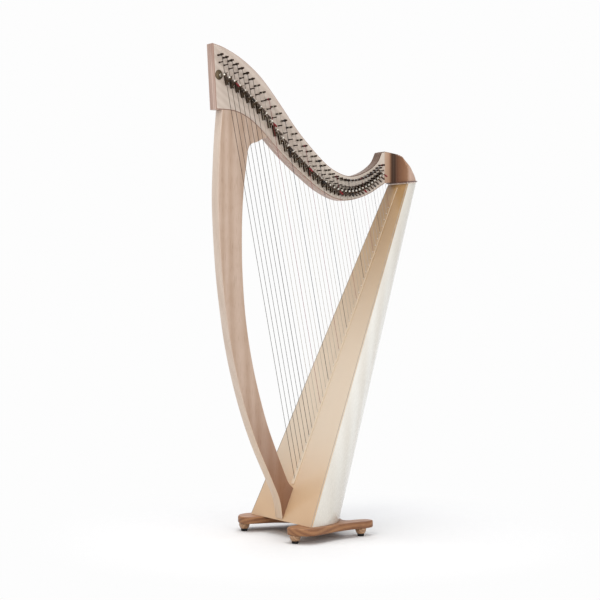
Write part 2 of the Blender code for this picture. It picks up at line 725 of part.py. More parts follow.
def shoulder_ring(share, near, far, depth, fall):
    """Return one section of the shoulder block, at a share of its height.

    near and far are its half widths on either side, depth is how far it reaches behind the
    board's front, and fall is the share of the slope that its top takes there.
    """
    back_x = NECK_JOINT_X + SEAT
    cove_x = BOX_TOP_FRONT_X - COVE_RADIUS
    cove_y = NECK_NEAR_Y - COVE_RADIUS
    plan = [(back_x, NECK_NEAR_Y)]
    for step in range(COVE_STEPS + 1):
        angle = math.pi / 2.0 * (1.0 - step / COVE_STEPS)
        across = COVE_RADIUS * math.cos(angle)
        plan.append((cove_x + across, cove_y + COVE_RADIUS * math.sin(angle)))
    for step in range(BLOCK_ARC_STEPS + 1):
        angle = math.pi * step / BLOCK_ARC_STEPS
        side = near if math.cos(angle) > 0.0 else far
        plan.append((BOX_TOP_FRONT_X + depth * math.sin(angle), -side * math.cos(angle)))
    plan.append((back_x, NECK_FAR_Y))
    slope = BOX_TOP_SLOPE * (1.0 - share)
    level = BLOCK_FOOT_Z + share * BLOCK_HEIGHT
    points = []
    for x, y in plan:
        behind = (x - back_x) * BLOCK_FALL_BACK
        beside = max(NECK_NEAR_Y - y, 0.0) * BLOCK_FALL_NEAR
        z = level + slope * (x - BOX_TOP_FRONT_X) - fall * (behind + beside)
        points.append(Vector((x, y, z)))
    return points


def build_shoulder():
    """Build the block that carries the neck: it flares from the neck through a cove."""
    least = COVE_RADIUS - NECK_NEAR_Y + COVE_LIP
    rings = [shoulder_ring(0.0, BOX_TOP_HALF, BOX_TOP_HALF, BOX_TOP_DEPTH, 0.0)]
    for share, near, depth, inset, fall in BLOCK_SECTIONS:
        far = BOX_TOP_HALF if share <= BLOCK_STRAIGHT_SHARE else NECK_FAR_Y - inset
        half = max(BOX_TOP_HALF * near, least)
        rings.append(shoulder_ring(share, half, far, BOX_TOP_DEPTH * depth, fall))
    return add_object("shoulder_block", loft("shoulder_block", rings), MAPLE_BROWN)


def build_neck(lines):
    """Build the neck and drill the holes that the tuning pins pass through."""
    joint_top = Vector((NECK_JOINT_X, NECK_JOINT_HEIGHTS[1]))
    outline = [*UPPER_PATH, joint_top, *LOWER_PATH]
    plate = upright_plate("neck", outline, NECK_THICKNESS, NECK_NEAR_Y)
    holes = []
    for line in lines:
        x, z = line.tuning_axis()
        over = NECK_THICKNESS / 4.0
        holes.append(rod(
            "pin_hole", (x, NECK_NEAR_Y - over, z), (x, NECK_FAR_Y + over, z),
            TUNING_PIN_RADIUS + PIN_HOLE_CLEARANCE, 8,
        ))
    return combined("neck", [plate, *holes], "DIFFERENCE", MAPLE_FACE)


def build_pillar():
    """Build the pillar, which leans off the neck's plane towards the soundboard's middle."""
    drop = SEAT * 1.5
    seam = [point for point in LOWER_PATH if PILLAR_TOP_FRONT_X < point.x < PILLAR_TIP_X]
    tip = Vector((PILLAR_TIP_X, height_on(LOWER_PATH, PILLAR_TIP_X)))
    corner = Vector((PILLAR_TOP_FRONT_X, height_on(LOWER_PATH, PILLAR_TOP_FRONT_X)))
    top = [Vector((point.x, point.y - drop)) for point in (tip, *seam, corner)]
    seat_gap = behind_front(SEAT)
    foot = [Vector((board_front_x(z) - seat_gap, z)) for z in (PILLAR_FOOT_Z, PILLAR_SEAT_Z)]
    toe = Vector((BOARD_FOOT_X + SEAT, PILLAR_FOOT_Z))
    front = smooth_path([top[-1], *PILLAR_FRONT_EDGE, toe], EDGE_STEPS)
    inner_end = Vector((PILLAR_TIP_X, top[0].y - PILLAR_TIP_EDGE))
    inner = smooth_path([foot[1], *PILLAR_INNER_EDGE, inner_end], EDGE_STEPS)
    outline = [*front, foot[0], *inner, *top[:-1]]
    mesh = upright_plate("pillar", outline, PILLAR_THICKNESS, 0.0)
    seam_z = (tip.y + corner.y) / 2.0
    lean = (NECK_NEAR_Y - PILLAR_FOOT_NEAR_Y) / (seam_z - PILLAR_FOOT_Z)
    shear = Matrix.Identity(4)
    shear[1][2] = lean
    shear[1][3] = PILLAR_FOOT_NEAR_Y - lean * PILLAR_FOOT_Z
    mesh.transform(shear)
    return add_object("pillar", mesh, MAPLE_FACE)


def lever_mesh(length):
    """Make one lever about its pivot: a flanged hub, a cam and a handle that lifts outwards."""
    inner_y = -SEAT
    flange_y = inner_y - LEVER_FLANGE_THICKNESS
    outer_y = -LEVER_HUB_OUTER
    hub = rod("lever", (0.0, flange_y + SEAT, 0.0), (0.0, outer_y, 0.0), LEVER_HUB_RADIUS, 8)
    flange = rod("flange", (0.0, inner_y, 0.0), (0.0, flange_y, 0.0), LEVER_FLANGE_RADIUS, 8)
    rest = Vector((math.cos(LEVER_REST_ANGLE), 0.0, math.sin(LEVER_REST_ANGLE)))
    across = Vector((-rest.z, 0.0, rest.x))

    cam_angle = STRING_TILT - LEVER_THROW
    cam_run = LEVER_CAM_REACH - LEVER_CAM_RADIUS
    cam_x = cam_run * math.cos(cam_angle)
    cam_z = cam_run * math.sin(cam_angle)
    cam = rod(
        "cam", (cam_x, -STRING_OFF_NECK - LEVER_CAM_HALF_LENGTH, cam_z),
        (cam_x, -STRING_OFF_NECK + LEVER_CAM_HALF_LENGTH, cam_z), LEVER_CAM_RADIUS, 8,
    )

    rings = []
    stations = (
        (-LEVER_HUB_RADIUS * 0.6, 0.0, LEVER_HANDLE_WIDTH),
        (length * 0.5, 0.5, LEVER_HANDLE_WIDTH),
        (length * 0.86, 0.86, LEVER_TIP_WIDTH),
        (length, 1.0, LEVER_TIP_WIDTH * 0.6),
    )
    deep = Vector((0.0, LEVER_HANDLE_THICKNESS / 2.0, 0.0))
    for run, share, width in stations:
        middle_y = outer_y + LEVER_HANDLE_THICKNESS - LEVER_HANDLE_RISE * share
        middle = rest * run + Vector((0.0, middle_y, 0.0))
        side = across * (width / 2.0)
        rings.append([
            middle - side - deep, middle + side - deep,
            middle + side + deep, middle - side + deep,
        ])
    handle = loft("handle", rings)
    return [hub, flange, cam, handle]


def build_levers(lines):
    """Build one lever for each string, its origin on its pivot.

    The handles get shorter over the treble strings, where the next lever stands close by and a
    little higher, so that each handle turns through its whole throw over its neighbour's.
    """
    for line in lines:
        x, z = line.lever_axis()
        over_last = (STRING_COUNT - line.number) * LEVER_HANDLE_STEP
        length = min(LEVER_HANDLE_LEAST + over_last, LEVER_HANDLE_LENGTH)
        lever = combined("lever_" + line.note, lever_mesh(length), "UNION", BRONZE)
        lever.location = (x, NECK_NEAR_Y, z)


def build_strings(lines):
    """Build the sets of strings, with the inner rib shared out where one set ends."""
    materials = {"bass_wires": STEEL, "gut_strings": GUT, "nylon_strings": GUT}
    low_z = lines[0].inner_z - INNER_RIB_END
    for name, first, last in STRING_SETS:
        own = lines[first - 1:last]
        if last < len(lines):
            high_z = (lines[last - 1].inner_z + lines[last].inner_z) / 2.0
        else:
            high_z = lines[-1].inner_z + INNER_RIB_END
        build_string_set(name, own, materials[name], low_z, high_z - SEAT)
        low_z = high_z


def shade_smooth():
    """Shade every piece smooth except across its sharp edges."""
    for mesh in {piece.data for piece in HARP.objects if piece.type == "MESH"}:
        mesh.shade_smooth()
        mesh.set_sharp_from_angle(angle=math.radians(35.0))


def centre_frame():
    """Move the frame so that the harp's box is centred on x = 0 and y = 0."""
    bpy.context.view_layer.update()
    graph = bpy.context.evaluated_depsgraph_get()
    corners = []
    for piece in HARP.objects:
        if piece.type == "MESH":
            drawn = piece.evaluated_get(graph)
            corners.extend(drawn.matrix_world @ Vector(corner) for corner in drawn.bound_box)
    middle = [(min(c[k] for c in corners) + max(c[k] for c in corners)) / 2.0 for k in (0, 1)]
    FRAME.location = (-middle[0], -middle[1], 0.0)
    bpy.context.view_layer.update()


def build_harp():
    """Build every piece of the harp."""
    lines = [StringLine(number) for number in range(1, STRING_COUNT + 1)]
    build_feet()
    build_base()
    build_soundbox(lines)
    build_shoulder()
    build_neck(lines)
    build_pillar()
    build_strings(lines)
    build_levers(lines)
    shade_smooth()
    centre_frame()
    for line in lines:
        x, z = line.lever_axis()
        place = FRAME.matrix_world @ Vector((x, NECK_NEAR_Y, z))
        print("lever_%s pivot %.6f %.6f %.6f" % (line.note, *place))


build_harp()
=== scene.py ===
"""Looks of a lever harp: smooth varnished wood, strings, pins and levers around the fixed frame.

Everything is drawn in metres with x = 0 over the front feet, y = 0 in the middle plane of the
soundboard and z = 0 on the floor. Each mesh is moved to the frame's own place when it is finished.
"""

import logging
import math
from dataclasses import dataclass
from enum import Enum
from typing import Any, Callable, Iterable, Optional, Sequence, Union

import bmesh
import bpy
from mathutils import Matrix, Vector

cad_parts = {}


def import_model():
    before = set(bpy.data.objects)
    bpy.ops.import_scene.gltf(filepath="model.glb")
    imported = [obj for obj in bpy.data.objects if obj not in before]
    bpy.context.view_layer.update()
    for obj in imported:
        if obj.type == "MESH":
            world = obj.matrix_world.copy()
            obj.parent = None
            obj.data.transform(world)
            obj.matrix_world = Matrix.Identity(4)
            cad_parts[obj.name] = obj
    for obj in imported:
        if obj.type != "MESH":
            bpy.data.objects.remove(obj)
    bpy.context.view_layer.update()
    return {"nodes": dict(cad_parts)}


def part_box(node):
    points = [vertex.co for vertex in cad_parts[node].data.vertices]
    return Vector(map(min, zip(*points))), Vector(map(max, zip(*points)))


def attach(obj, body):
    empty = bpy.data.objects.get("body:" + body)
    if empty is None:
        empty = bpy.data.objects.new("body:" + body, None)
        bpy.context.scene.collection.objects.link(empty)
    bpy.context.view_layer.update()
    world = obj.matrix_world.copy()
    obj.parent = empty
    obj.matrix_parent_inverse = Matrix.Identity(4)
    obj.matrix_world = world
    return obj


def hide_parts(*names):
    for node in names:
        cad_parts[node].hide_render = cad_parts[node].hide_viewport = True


LOG = logging.getLogger("lever_harp")
BODY = "harp_body"
# Turn a lathe's or a plate's z axis towards the harp's near side, and towards its far side
FACING = Matrix.Rotation(math.pi / 2.0, 4, "X")
BACKING = Matrix.Rotation(-math.pi / 2.0, 4, "X")
# Edges that turn more than this stay sharp
CREASE = math.radians(34.0)
# A plate's flats are the faces whose normals run along its axis by at least this cosine
FLAT = 0.98
# The edges of a face with more corners than this stay sharp
CAP_CORNERS = 8
# The scale at which a wave texture's lines are 1 mm apart
WAVE_MM = 314.16

Row = tuple[float, ...]
Key = Union[str, int]
Inputs = Union[dict[Key, Any], Sequence[Any]]
Material = bpy.types.Material
Mesh = bpy.types.Mesh
Shell = bmesh.types.BMesh
Socket = bpy.types.NodeSocket
Tree = bpy.types.NodeTree
Thing = bpy.types.Object


def linear(hex_code: str) -> Row:
    """Turn an sRGB hex colour into the linear one that a shader takes.

    Args:
        hex_code: The colour, as # and six hex digits.

    Returns:
        Linear red, green and blue, and an alpha of 1.
    """
    parts = [int(hex_code[k:k + 2], 16) / 255.0 for k in (1, 3, 5)]
    light = [p / 12.92 if p <= 0.04045 else ((p + 0.055) / 1.055) ** 2.4 for p in parts]
    return (*light, 1.0)


def wire(tree: Tree, node: bpy.types.Node, inputs: Inputs) -> None:
    """Set or link a node's inputs.

    Args:
        tree: The node's tree.
        node: The node.
        inputs: The values to set and sockets to link, in order or by input name or number.
    """
    for key, value in inputs.items() if isinstance(inputs, dict) else enumerate(inputs):
        if isinstance(value, Socket):
            tree.links.new(value, node.inputs[key])
        else:
            node.inputs[key].default_value = value


def add(tree: Tree, kind: str, inputs: Inputs = (), out: Key = 0, **settings: Any) -> Socket:
    """Add one node with its settings and links.

    Args:
        tree: The tree that gets the node.
        kind: The node's type, such as ShaderNodeTexNoise.
        inputs: What its inputs are set or linked to, as for wire.
        out: The name or number of the output that is returned.
        **settings: The node's own properties.

    Returns:
        The output.
    """
    node = tree.nodes.new(kind)
    for key, value in settings.items():
        setattr(node, key, value)
    wire(tree, node, inputs)
    return node.outputs[out]


class Recipe:
    """A material in the making: its tree, the object's coordinates and the colour so far."""

    def __init__(self, name: str, ground: str) -> None:
        """Start a material.

        Args:
            name: Its name.
            ground: The colour under all the others.
        """
        self.material = bpy.data.materials.new(name)
        self.material.use_nodes = True
        self.tree = self.material.node_tree
        self.place = add(self.tree, "ShaderNodeTexCoord", out="Object")
        self.colour: Any = linear(ground)

    def lay(self, tone: Union[str, Socket], share: Union[float, Socket]) -> None:
        """Lay a tone over the colour so far.

        Args:
            tone: The tone.
            share: How much of it shows.
        """
        over = linear(tone) if isinstance(tone, str) else tone
        layers = {0: share, 6: self.colour, 7: over}
        self.colour = add(self.tree, "ShaderNodeMix", layers, 2, data_type="RGBA")

    def finished(self, looks: dict[Key, Any]) -> Material:
        """Put the colour and the other looks on the shader, and return the material."""
        wire(self.tree, self.tree.nodes["Principled BSDF"], {"Base Color": self.colour, **looks})
        return self.material


class Figure(Enum):
    """How the growth lines lie in a piece of wood."""

    SLAB_CUT = "RINGS"
    QUARTER_CUT = "BANDS"


class Note(Enum):
    """The letters whose strings are coloured so that the player finds their way."""

    RED = "c"
    BLACK = "f"


@dataclass(frozen=True)
class Plies:
    """Layers of wood glued face to face, which show as lines on the edges that cut them."""

    thickness_mm: float
    glue: str
    glue_share: float = 0.10
    spread: float = 0.35
    offset_mm: float = 0.0
    lean_deg: float = 0.0


@dataclass(frozen=True)
class Fade:
    """A tone laid over the wood along one of the object's axes, in metres: the wood's own colour
    in some finishes, painted shade and light in others.
    """

    tone: str
    start: float
    end: float
    axis: str = "Z"
    strength: float = 0.75


@dataclass(frozen=True)
class PaintedCoveShade:
    """Painted shade and light: tones at places along the diagonal x - y, across the block, darkest
    in the cove where shade falls.
    """

    tones: tuple[tuple[float, str], ...]
    strength: float = 0.9


@dataclass(frozen=True)
class WoodFinish:
    """Varnished wood: growth lines, fibres and pores under a clear satin coat.

    turn_deg leads the pattern's x axis along the grain, and pith is the middle of the rings.
    """

    name: str
    pale: str
    dark: str
    pore: str
    turn_deg: Row = (0.0, 0.0, 0.0)
    pith: Row = (0.0, 0.16, 0.30)
    figure: Figure = Figure.SLAB_CUT
    line_mm: float = 9.0
    contrast: float = 0.5
    wander: float = 5.0
    fibre_mm: float = 1.4
    pore_share: float = 0.35
    plies: Optional[Plies] = None
    fades: tuple[Fade, ...] = ()
    painted_shade: Optional[PaintedCoveShade] = None
    staves: int = 0
    roughness: float = 0.38
    coat: float = 0.35
    specular: float = 0.5
    relief_mm: float = 0.05

    def build(self) -> Material:
        """Make the finish's material.

        Returns:
            The material, with its patterns on the object's own coordinates.
        """
        recipe = Recipe(self.name, self.pale)
        tree, place = recipe.tree, recipe.place
        # Fibres are about 18 times as long as they are wide, so the pattern is drawn out in x
        grain = add(tree, "ShaderNodeMapping", {
            "Vector": place, "Location": self.pith, "Scale": (18.0, 1.0, 1.0),
            "Rotation": [math.radians(angle) for angle in self.turn_deg],
        }, vector_type="TEXTURE")
        lines = add(tree, "ShaderNodeTexWave", {
            "Vector": grain, "Scale": WAVE_MM / self.line_mm, "Distortion": self.wander,
            "Detail": 2.0, "Detail Scale": 0.35, "Detail Roughness": 0.55,
        }, "Fac", wave_type=self.figure.value, bands_direction="Y")
        fibres, pores, clouds = (
            add(tree, "ShaderNodeTexNoise", {
                "Vector": at, "Scale": scale, "Detail": detail, "Roughness": roughness,
            }, "Fac") for at, scale, detail, roughness in (
                (grain, 1000.0 / self.fibre_mm, 3.0, 0.6),
                (grain, 650.0 / self.fibre_mm, 1.0, 0.5), (place, 11.0, 2.0, 0.5),
            )
        )
        drift = add(tree, "ShaderNodeMath", (clouds, 0.7, -0.35), operation="MULTIPLY_ADD")
        figure = add(tree, "ShaderNodeMix", {0: self.contrast, 2: fibres, 3: lines})
        recipe.lay(self.dark, add(tree, "ShaderNodeMath", (figure, drift), use_clamp=True))
        dots = add(tree, "ShaderNodeMapRange", (pores, 0.60, 0.70, 0.0, self.pore_share))
        recipe.lay(self.pore, dots)
        if self.plies:
            square = add(tree, "ShaderNodeMapping", {
                "Vector": place, "Location": (0.0, self.plies.offset_mm / 1000.0, 0.0),
                "Rotation": (math.radians(self.plies.lean_deg), 0.0, 0.0),
            }, vector_type="TEXTURE")
            depth = add(tree, "ShaderNodeSeparateXYZ", (square,), "Y")
            line = (self.plies.glue_share * 0.7, self.plies.glue_share, 0.75)
            self._parted(recipe, depth, 1000.0 / self.plies.thickness_mm, self.plies.spread,
                         "FRACT", line, self.plies.glue)
        for fade in self.fades:
            along = add(tree, "ShaderNodeSeparateXYZ", (place,), fade.axis)
            recipe.lay(fade.tone, add(
                tree, "ShaderNodeMapRange", (along, fade.start, fade.end, 0.0, fade.strength),
                interpolation_type="SMOOTHSTEP",
            ))
        # Painted shade and light: a ramp of tones, darkest where shade falls in the cove
        if self.painted_shade:
            self._lay_painted_shade(recipe, self.painted_shade)
        if self.staves:
            sheet = add(tree, "ShaderNodeUVMap", uv_map="staves")
            self._parted(recipe, add(tree, "ShaderNodeSeparateXYZ", (sheet,), "X"),
                         float(self.staves), 0.22, "PINGPONG", (0.0, 0.012, 0.35), self.pore)
        gloss = (self.roughness - 0.04, self.roughness + 0.05)
        return recipe.finished({
            "Roughness": add(tree, "ShaderNodeMapRange", (fibres, 0.3, 0.7, *gloss)),
            "Normal": add(tree, "ShaderNodeBump", {
                "Height": fibres, "Strength": 0.35, "Distance": self.relief_mm / 1000.0,
            }),
            "IOR": 1.5, "Specular IOR Level": self.specular, "Coat Weight": self.coat,
            "Coat Roughness": 0.16,
        })

    def _parted(self, recipe: Recipe, along: Socket, per_unit: float, spread: float, way: str,
                line: Row, tone: str) -> None:
        """Give each ply or stave its own tone, and draw the lines between them.

        Args:
            recipe: The material in the making.
            along: What runs across the parts.
            per_unit: How many parts there are to a unit of it.
            spread: How much darker than the rest a part may be.
            way: The sum that measures from a part's edge.
            line: Where a line begins and ends to fade, in shares of a part, and its strength.
            tone: The lines' colour.
        """
        tree = recipe.tree
        count = add(tree, "ShaderNodeMath", (along, per_unit), operation="MULTIPLY")
        part = add(tree, "ShaderNodeMath", (count,), operation="FLOOR")
        chance = add(tree, "ShaderNodeTexWhiteNoise", {"W": part}, "Value", noise_dimensions="1D")
        recipe.lay(self.dark, add(tree, "ShaderNodeMath", (chance, spread), operation="MULTIPLY"))
        edge = add(tree, "ShaderNodeMath", (count, 1.0), operation=way)
        recipe.lay(tone, add(tree, "ShaderNodeMapRange", (edge, *line, 0.0)))

    @staticmethod
    def _lay_painted_shade(recipe: Recipe, painted_shade: PaintedCoveShade) -> None:
        """Lay a ramp of painted shade and light.

        Args:
            recipe: The material in the making.
            painted_shade: The tones of painted shade and light.
        """
        tree, tones = recipe.tree, painted_shade.tones
        split = add(tree, "ShaderNodeSeparateXYZ", (recipe.place,)).node.outputs
        diagonal = add(tree, "ShaderNodeMath", (split["X"], split["Y"]), operation="SUBTRACT")
        start, end = tones[0][0], tones[-1][0]
        share = add(tree, "ShaderNodeMapRange", (diagonal, start, end))
        ramp = add(tree, "ShaderNodeValToRGB", (share,), "Color")
        stops = ramp.node.color_ramp.elements
        stops[0].color = linear(tones[0][1])
        stops[-1].color = linear(tones[-1][1])
        for at, tone in tones[1:-1]:
            stops.new((at - start) / (end - start)).color = linear(tone)
        recipe.lay(ramp, painted_shade.strength)


@dataclass(frozen=True)
class MetalFinish:
    """Turned or brushed metal, plated or darkened, with faint tool marks in its gloss."""

    name: str
    colour: str
    tarnish: str
    roughness: float
    mark_mm: float = 0.6

    def build(self) -> Material:
        """Make the finish's material.

        Returns:
            The material.
        """
        recipe = Recipe(self.name, self.colour)
        marks, stains = (
            add(recipe.tree, "ShaderNodeTexNoise", {
                "Vector": recipe.place, "Scale": scale, "Detail": detail,
            }, "Fac") for scale, detail in ((1000.0 / self.mark_mm, 2.0), (160.0, 3.0))
        )
        worn = add(recipe.tree, "ShaderNodeMapRange", (stains, 0.45, 0.75, 0.0, 0.6))
        recipe.lay(self.tarnish, worn)
        gloss = (self.roughness * 0.8, self.roughness * 1.25)
        polish = add(recipe.tree, "ShaderNodeMapRange", (marks, 0.3, 0.7, *gloss))
        return recipe.finished({"Roughness": polish, "Metallic": 1.0})


@dataclass(frozen=True)
class CordFinish:
    """A string's own skin: gut, nylon or fine wire wound round a core."""

    name: str
    colour: str
    shade: str
    roughness: float
    metallic: float = 0.0
    turn_mm: float = 1.2

    def build(self) -> Material:
        """Make the finish's material.

        Returns:
            The material, whose twist or winding runs up the string.
        """
        recipe = Recipe(self.name, self.colour)
        tree, place = recipe.tree, recipe.place
        # Real turns are 0.1 to 0.3 mm apart, too fine to show, so they are drawn coarser
        turns = add(tree, "ShaderNodeTexWave", {
            "Vector": place, "Scale": WAVE_MM / self.turn_mm, "Distortion": 0.4,
        }, "Fac", bands_direction="Z")
        cloudy = {"Vector": place, "Scale": 60.0, "Detail": 2.0}
        clouds = add(tree, "ShaderNodeTexNoise", cloudy, "Fac")
        recipe.lay(self.shade, add(tree, "ShaderNodeMath", (turns, clouds), operation="MULTIPLY"))
        twist = {"Height": turns, "Strength": 0.4, "Distance": 0.0001}
        return recipe.finished({
            "Normal": add(tree, "ShaderNodeBump", twist), "Roughness": self.roughness,
            "Metallic": self.metallic,
        })


@dataclass(frozen=True)
class MouldedFinish:
    """Moulded rubber or plastic with a fine, even texture."""

    name: str
    colour: str
    worn: str
    roughness: float
    grit_mm: float = 0.8
    specular: float = 0.2

    def build(self) -> Material:
        """Make the finish's material.

        Returns:
            The material.
        """
        recipe = Recipe(self.name, self.colour)
        grit, scuffs = (
            add(recipe.tree, "ShaderNodeTexNoise", {
                "Vector": recipe.place, "Scale": scale, "Detail": 3.0,
            }, "Fac") for scale in (1000.0 / self.grit_mm, 90.0)
        )
        recipe.lay(self.worn, add(recipe.tree, "ShaderNodeMapRange", (scuffs, 0.5, 0.8, 0.0, 0.5)))
        relief = {"Height": grit, "Strength": 0.3, "Distance": 0.00008}
        return recipe.finished({
            "Normal": add(recipe.tree, "ShaderNodeBump", relief), "Roughness": self.roughness,
            "Specular IOR Level": self.specular,
        })


def blend(first: float, second: float, share: float) -> float:
    """Return the value that lies a share of the way from first to second."""
    return first + (second - first) * share


def round_steps(count: int) -> list[float]:
    """Return the angles of equal steps round a circle."""
    return [2.0 * math.pi * step / count for step in range(count)]


def on_circle(radius: float, angle: float, z: float = 0.0) -> Vector:
    """Return the point at an angle on a circle about the z axis."""
    return Vector((radius * math.cos(angle), radius * math.sin(angle), z))


def curve_through(points: Sequence[Row], steps: int) -> list[Row]:
    """Sample a Catmull-Rom curve through points of any dimension.

    Args:
        points: The points that the curve passes.
        steps: How many samples each span gets.

    Returns:
        The samples, from the first point to the last.
    """
    before, after = (
        tuple(2.0 * a - b for a, b in zip(end, beside))
        for end, beside in ((points[0], points[1]), (points[-1], points[-2]))
    )
    knots = [before, *points, after]
    path = [
        tuple(
            0.5 * (2.0 * b + (c - a) * t + (2.0 * a - 5.0 * b + 4.0 * c - d) * t * t
                   + (3.0 * b - a - 3.0 * c + d) * t ** 3)
            for a, b, c, d in zip(*span)
        )
        for span in zip(knots, knots[1:], knots[2:], knots[3:])
        for t in (step / steps for step in range(steps))
    ]
    return [*path, tuple(points[-1])]


def height_on(path: Sequence[Row], x: float) -> float:
    """Find the height of a path of x and z at one x.

    Args:
        path: The path's points.
        x: Where to look.

    Returns:
        The height there.
    """
    for a, b in zip(path, path[1:]):
        if min(a[0], b[0]) <= x <= max(a[0], b[0]) and a[0] != b[0]:
            return blend(a[1], b[1], (x - a[0]) / (b[0] - a[0]))
    raise ValueError(f"the path does not reach x = {x:.4f}")


def outward(bm: Shell, finish: int = 0) -> Shell:
    """Point a closed shell's faces outwards and name the finish that they wear.

    Args:
        bm: The shell.
        finish: The number of its material slot.

    Returns:
        The same shell.
    """
    bmesh.ops.recalc_face_normals(bm, faces=bm.faces)
    if bm.calc_volume(signed=True) < 0.0:
        bmesh.ops.reverse_faces(bm, faces=bm.faces)
    if finish:
        for face in bm.faces:
            face.material_index = finish
    return bm


def skin(rings: Iterable[Iterable[Any]], finish: int = 0, closed: bool = False) -> Shell:
    """Skin rings that have the same count of points.

    Args:
        rings: The rings, in order along the piece. A ring of one point is a pole.
        finish: The number of the material slot.
        closed: Whether the last ring joins the first one. Otherwise both ends get a cap.

    Returns:
        The closed shell.
    """
    bm = bmesh.new()
    rows = [[bm.verts.new(point) for point in ring] for ring in rings]
    for low, high in zip(rows, rows[1:] + (rows[:1] if closed else [])):
        count = max(len(low), len(high))
        for k in range(count):
            beside = (k + 1) % count
            corners = (low[k % len(low)], low[beside % len(low)],
                       high[beside % len(high)], high[k % len(high)])
            bm.faces.new(list(dict.fromkeys(corners)))
    for row in () if closed else (rows[0], rows[-1]):
        if len(row) > 2:
            bm.faces.new(row)
    return outward(bm, finish)


def turned(profile: Iterable[Row], turn: Matrix, sides: int = 24) -> Shell:
    """Turn a profile about an axis, as a lathe does.

    Args:
        profile: Pairs of radius and place along the axis. A radius of 0 is a pole.
        turn: Takes the axis from z to where it stands.
        sides: How many sides the round has.

    Returns:
        The closed shell.
    """
    return skin([
        [turn @ on_circle(radius, angle, along) for angle in round_steps(sides if radius else 1)]
        for radius, along in profile
    ])


def hoop(points: Sequence[Vector], radius: float, sides: int, up: Vector) -> Shell:
    """Sweep a round section along a closed line.

    Args:
        points: The line's points.
        radius: The section's radius.
        sides: How many sides the section has.
        up: A direction that the line never runs along.

    Returns:
        The closed shell.
    """
    rings = []
    for k, point in enumerate(points):
        along = (points[(k + 1) % len(points)] - points[k - 1]).normalized()
        across = along.cross(up).normalized()
        over = across.cross(along)
        rings.append([
            point + across * (radius * math.cos(angle)) + over * (radius * math.sin(angle))
            for angle in round_steps(sides)
        ])
    return skin(rings, closed=True)


def plate(
    outline: Sequence[Row], thickness: float, stand: Matrix, rounding: float,
    edge_finish: int = 0, kept_sharp: Callable[[Vector], bool] = lambda place: False,
) -> Shell:
    """Cut a plate to an outline and round its rims.

    Args:
        outline: The outline's points in the plate's own plane.
        thickness: The plate's thickness.
        stand: Takes the plate from the xy plane to where it stands.
        rounding: The radius of the rounded rims.
        edge_finish: The number of the material slot on the edges, where slot 0 is on the flats.
        kept_sharp: Tells for a point of the outline whether its rim stays sharp.

    Returns:
        The closed shell.
    """
    bm = bmesh.new()
    floor, roof = ([bm.verts.new((x, y, z)) for x, y in outline] for z in (0.0, thickness))
    bm.faces.new(floor)
    bm.faces.new(roof)
    rims = []
    for a, b, c, d in zip(floor, floor[1:] + floor[:1], roof[1:] + roof[:1], roof):
        bm.faces.new((a, b, c, d))
        if not kept_sharp((a.co + b.co) / 2.0):
            rims += [bm.edges.get((a, b)), bm.edges.get((d, c))]
    bmesh.ops.recalc_face_normals(bm, faces=bm.faces)
    bmesh.ops.bevel(bm, geom=rims, offset=rounding, segments=3, profile=0.5, affect="EDGES",
                    clamp_overlap=True)
    bm.normal_update()
    for face in bm.faces:
        face.material_index = 0 if abs(face.normal.z) > FLAT else edge_finish
    bm.transform(stand)
    return outward(bm)


def joined(shells: Iterable[Shell]) -> Shell:
    """Put several shells into one.

    Args:
        shells: The shells, which are freed.

    Returns:
        The whole.
    """
    whole = bmesh.new()
    for shell in shells:
        spare = bpy.data.meshes.new("spare")
        shell.to_mesh(spare)
        shell.free()
        whole.from_mesh(spare)
        bpy.data.meshes.remove(spare)
    return whole


def as_mesh(name: str, bm: Shell) -> Mesh:
    """Turn a shell into a mesh that is shaded smooth except across its creases.

    Args:
        name: The mesh's name.
        bm: The shell, which is freed.

    Returns:
        The mesh.
    """
    bm.normal_update()
    for face in bm.faces:
        face.smooth = True
    for edge in bm.edges:
        flat = any(len(face.verts) > CAP_CORNERS for face in edge.link_faces)
        edge.smooth = len(edge.link_faces) == 2 and not flat and edge.calc_face_angle() < CREASE
    mesh = bpy.data.meshes.new(name)
    bm.to_mesh(mesh)
    bm.free()
    return mesh


def set_down(name: str, data: Any) -> Thing:
    """Put a mesh, a lamp or a camera in the scene.

    Args:
        name: The name of the object that carries it.
        data: What it carries.

    Returns:
        The object.
    """
    thing = bpy.data.objects.new(name, data)
    bpy.context.scene.collection.objects.link(thing)
    return thing


def worked(name: str, thing: Thing, *tools: Thing) -> Mesh:
    """Run an object's modifiers, and clear it and its tools away.

    Args:
        name: The name of the mesh that the modifiers leave.
        thing: The object.
        *tools: The objects that its modifiers use.

    Returns:
        The mesh.
    """
    bpy.context.view_layer.update()
    graph = bpy.context.evaluated_depsgraph_get()
    mesh = bpy.data.meshes.new_from_object(thing.evaluated_get(graph))
    mesh.name = name
    for used in (thing, *tools):
        bpy.data.objects.remove(used, do_unlink=True)
    return mesh


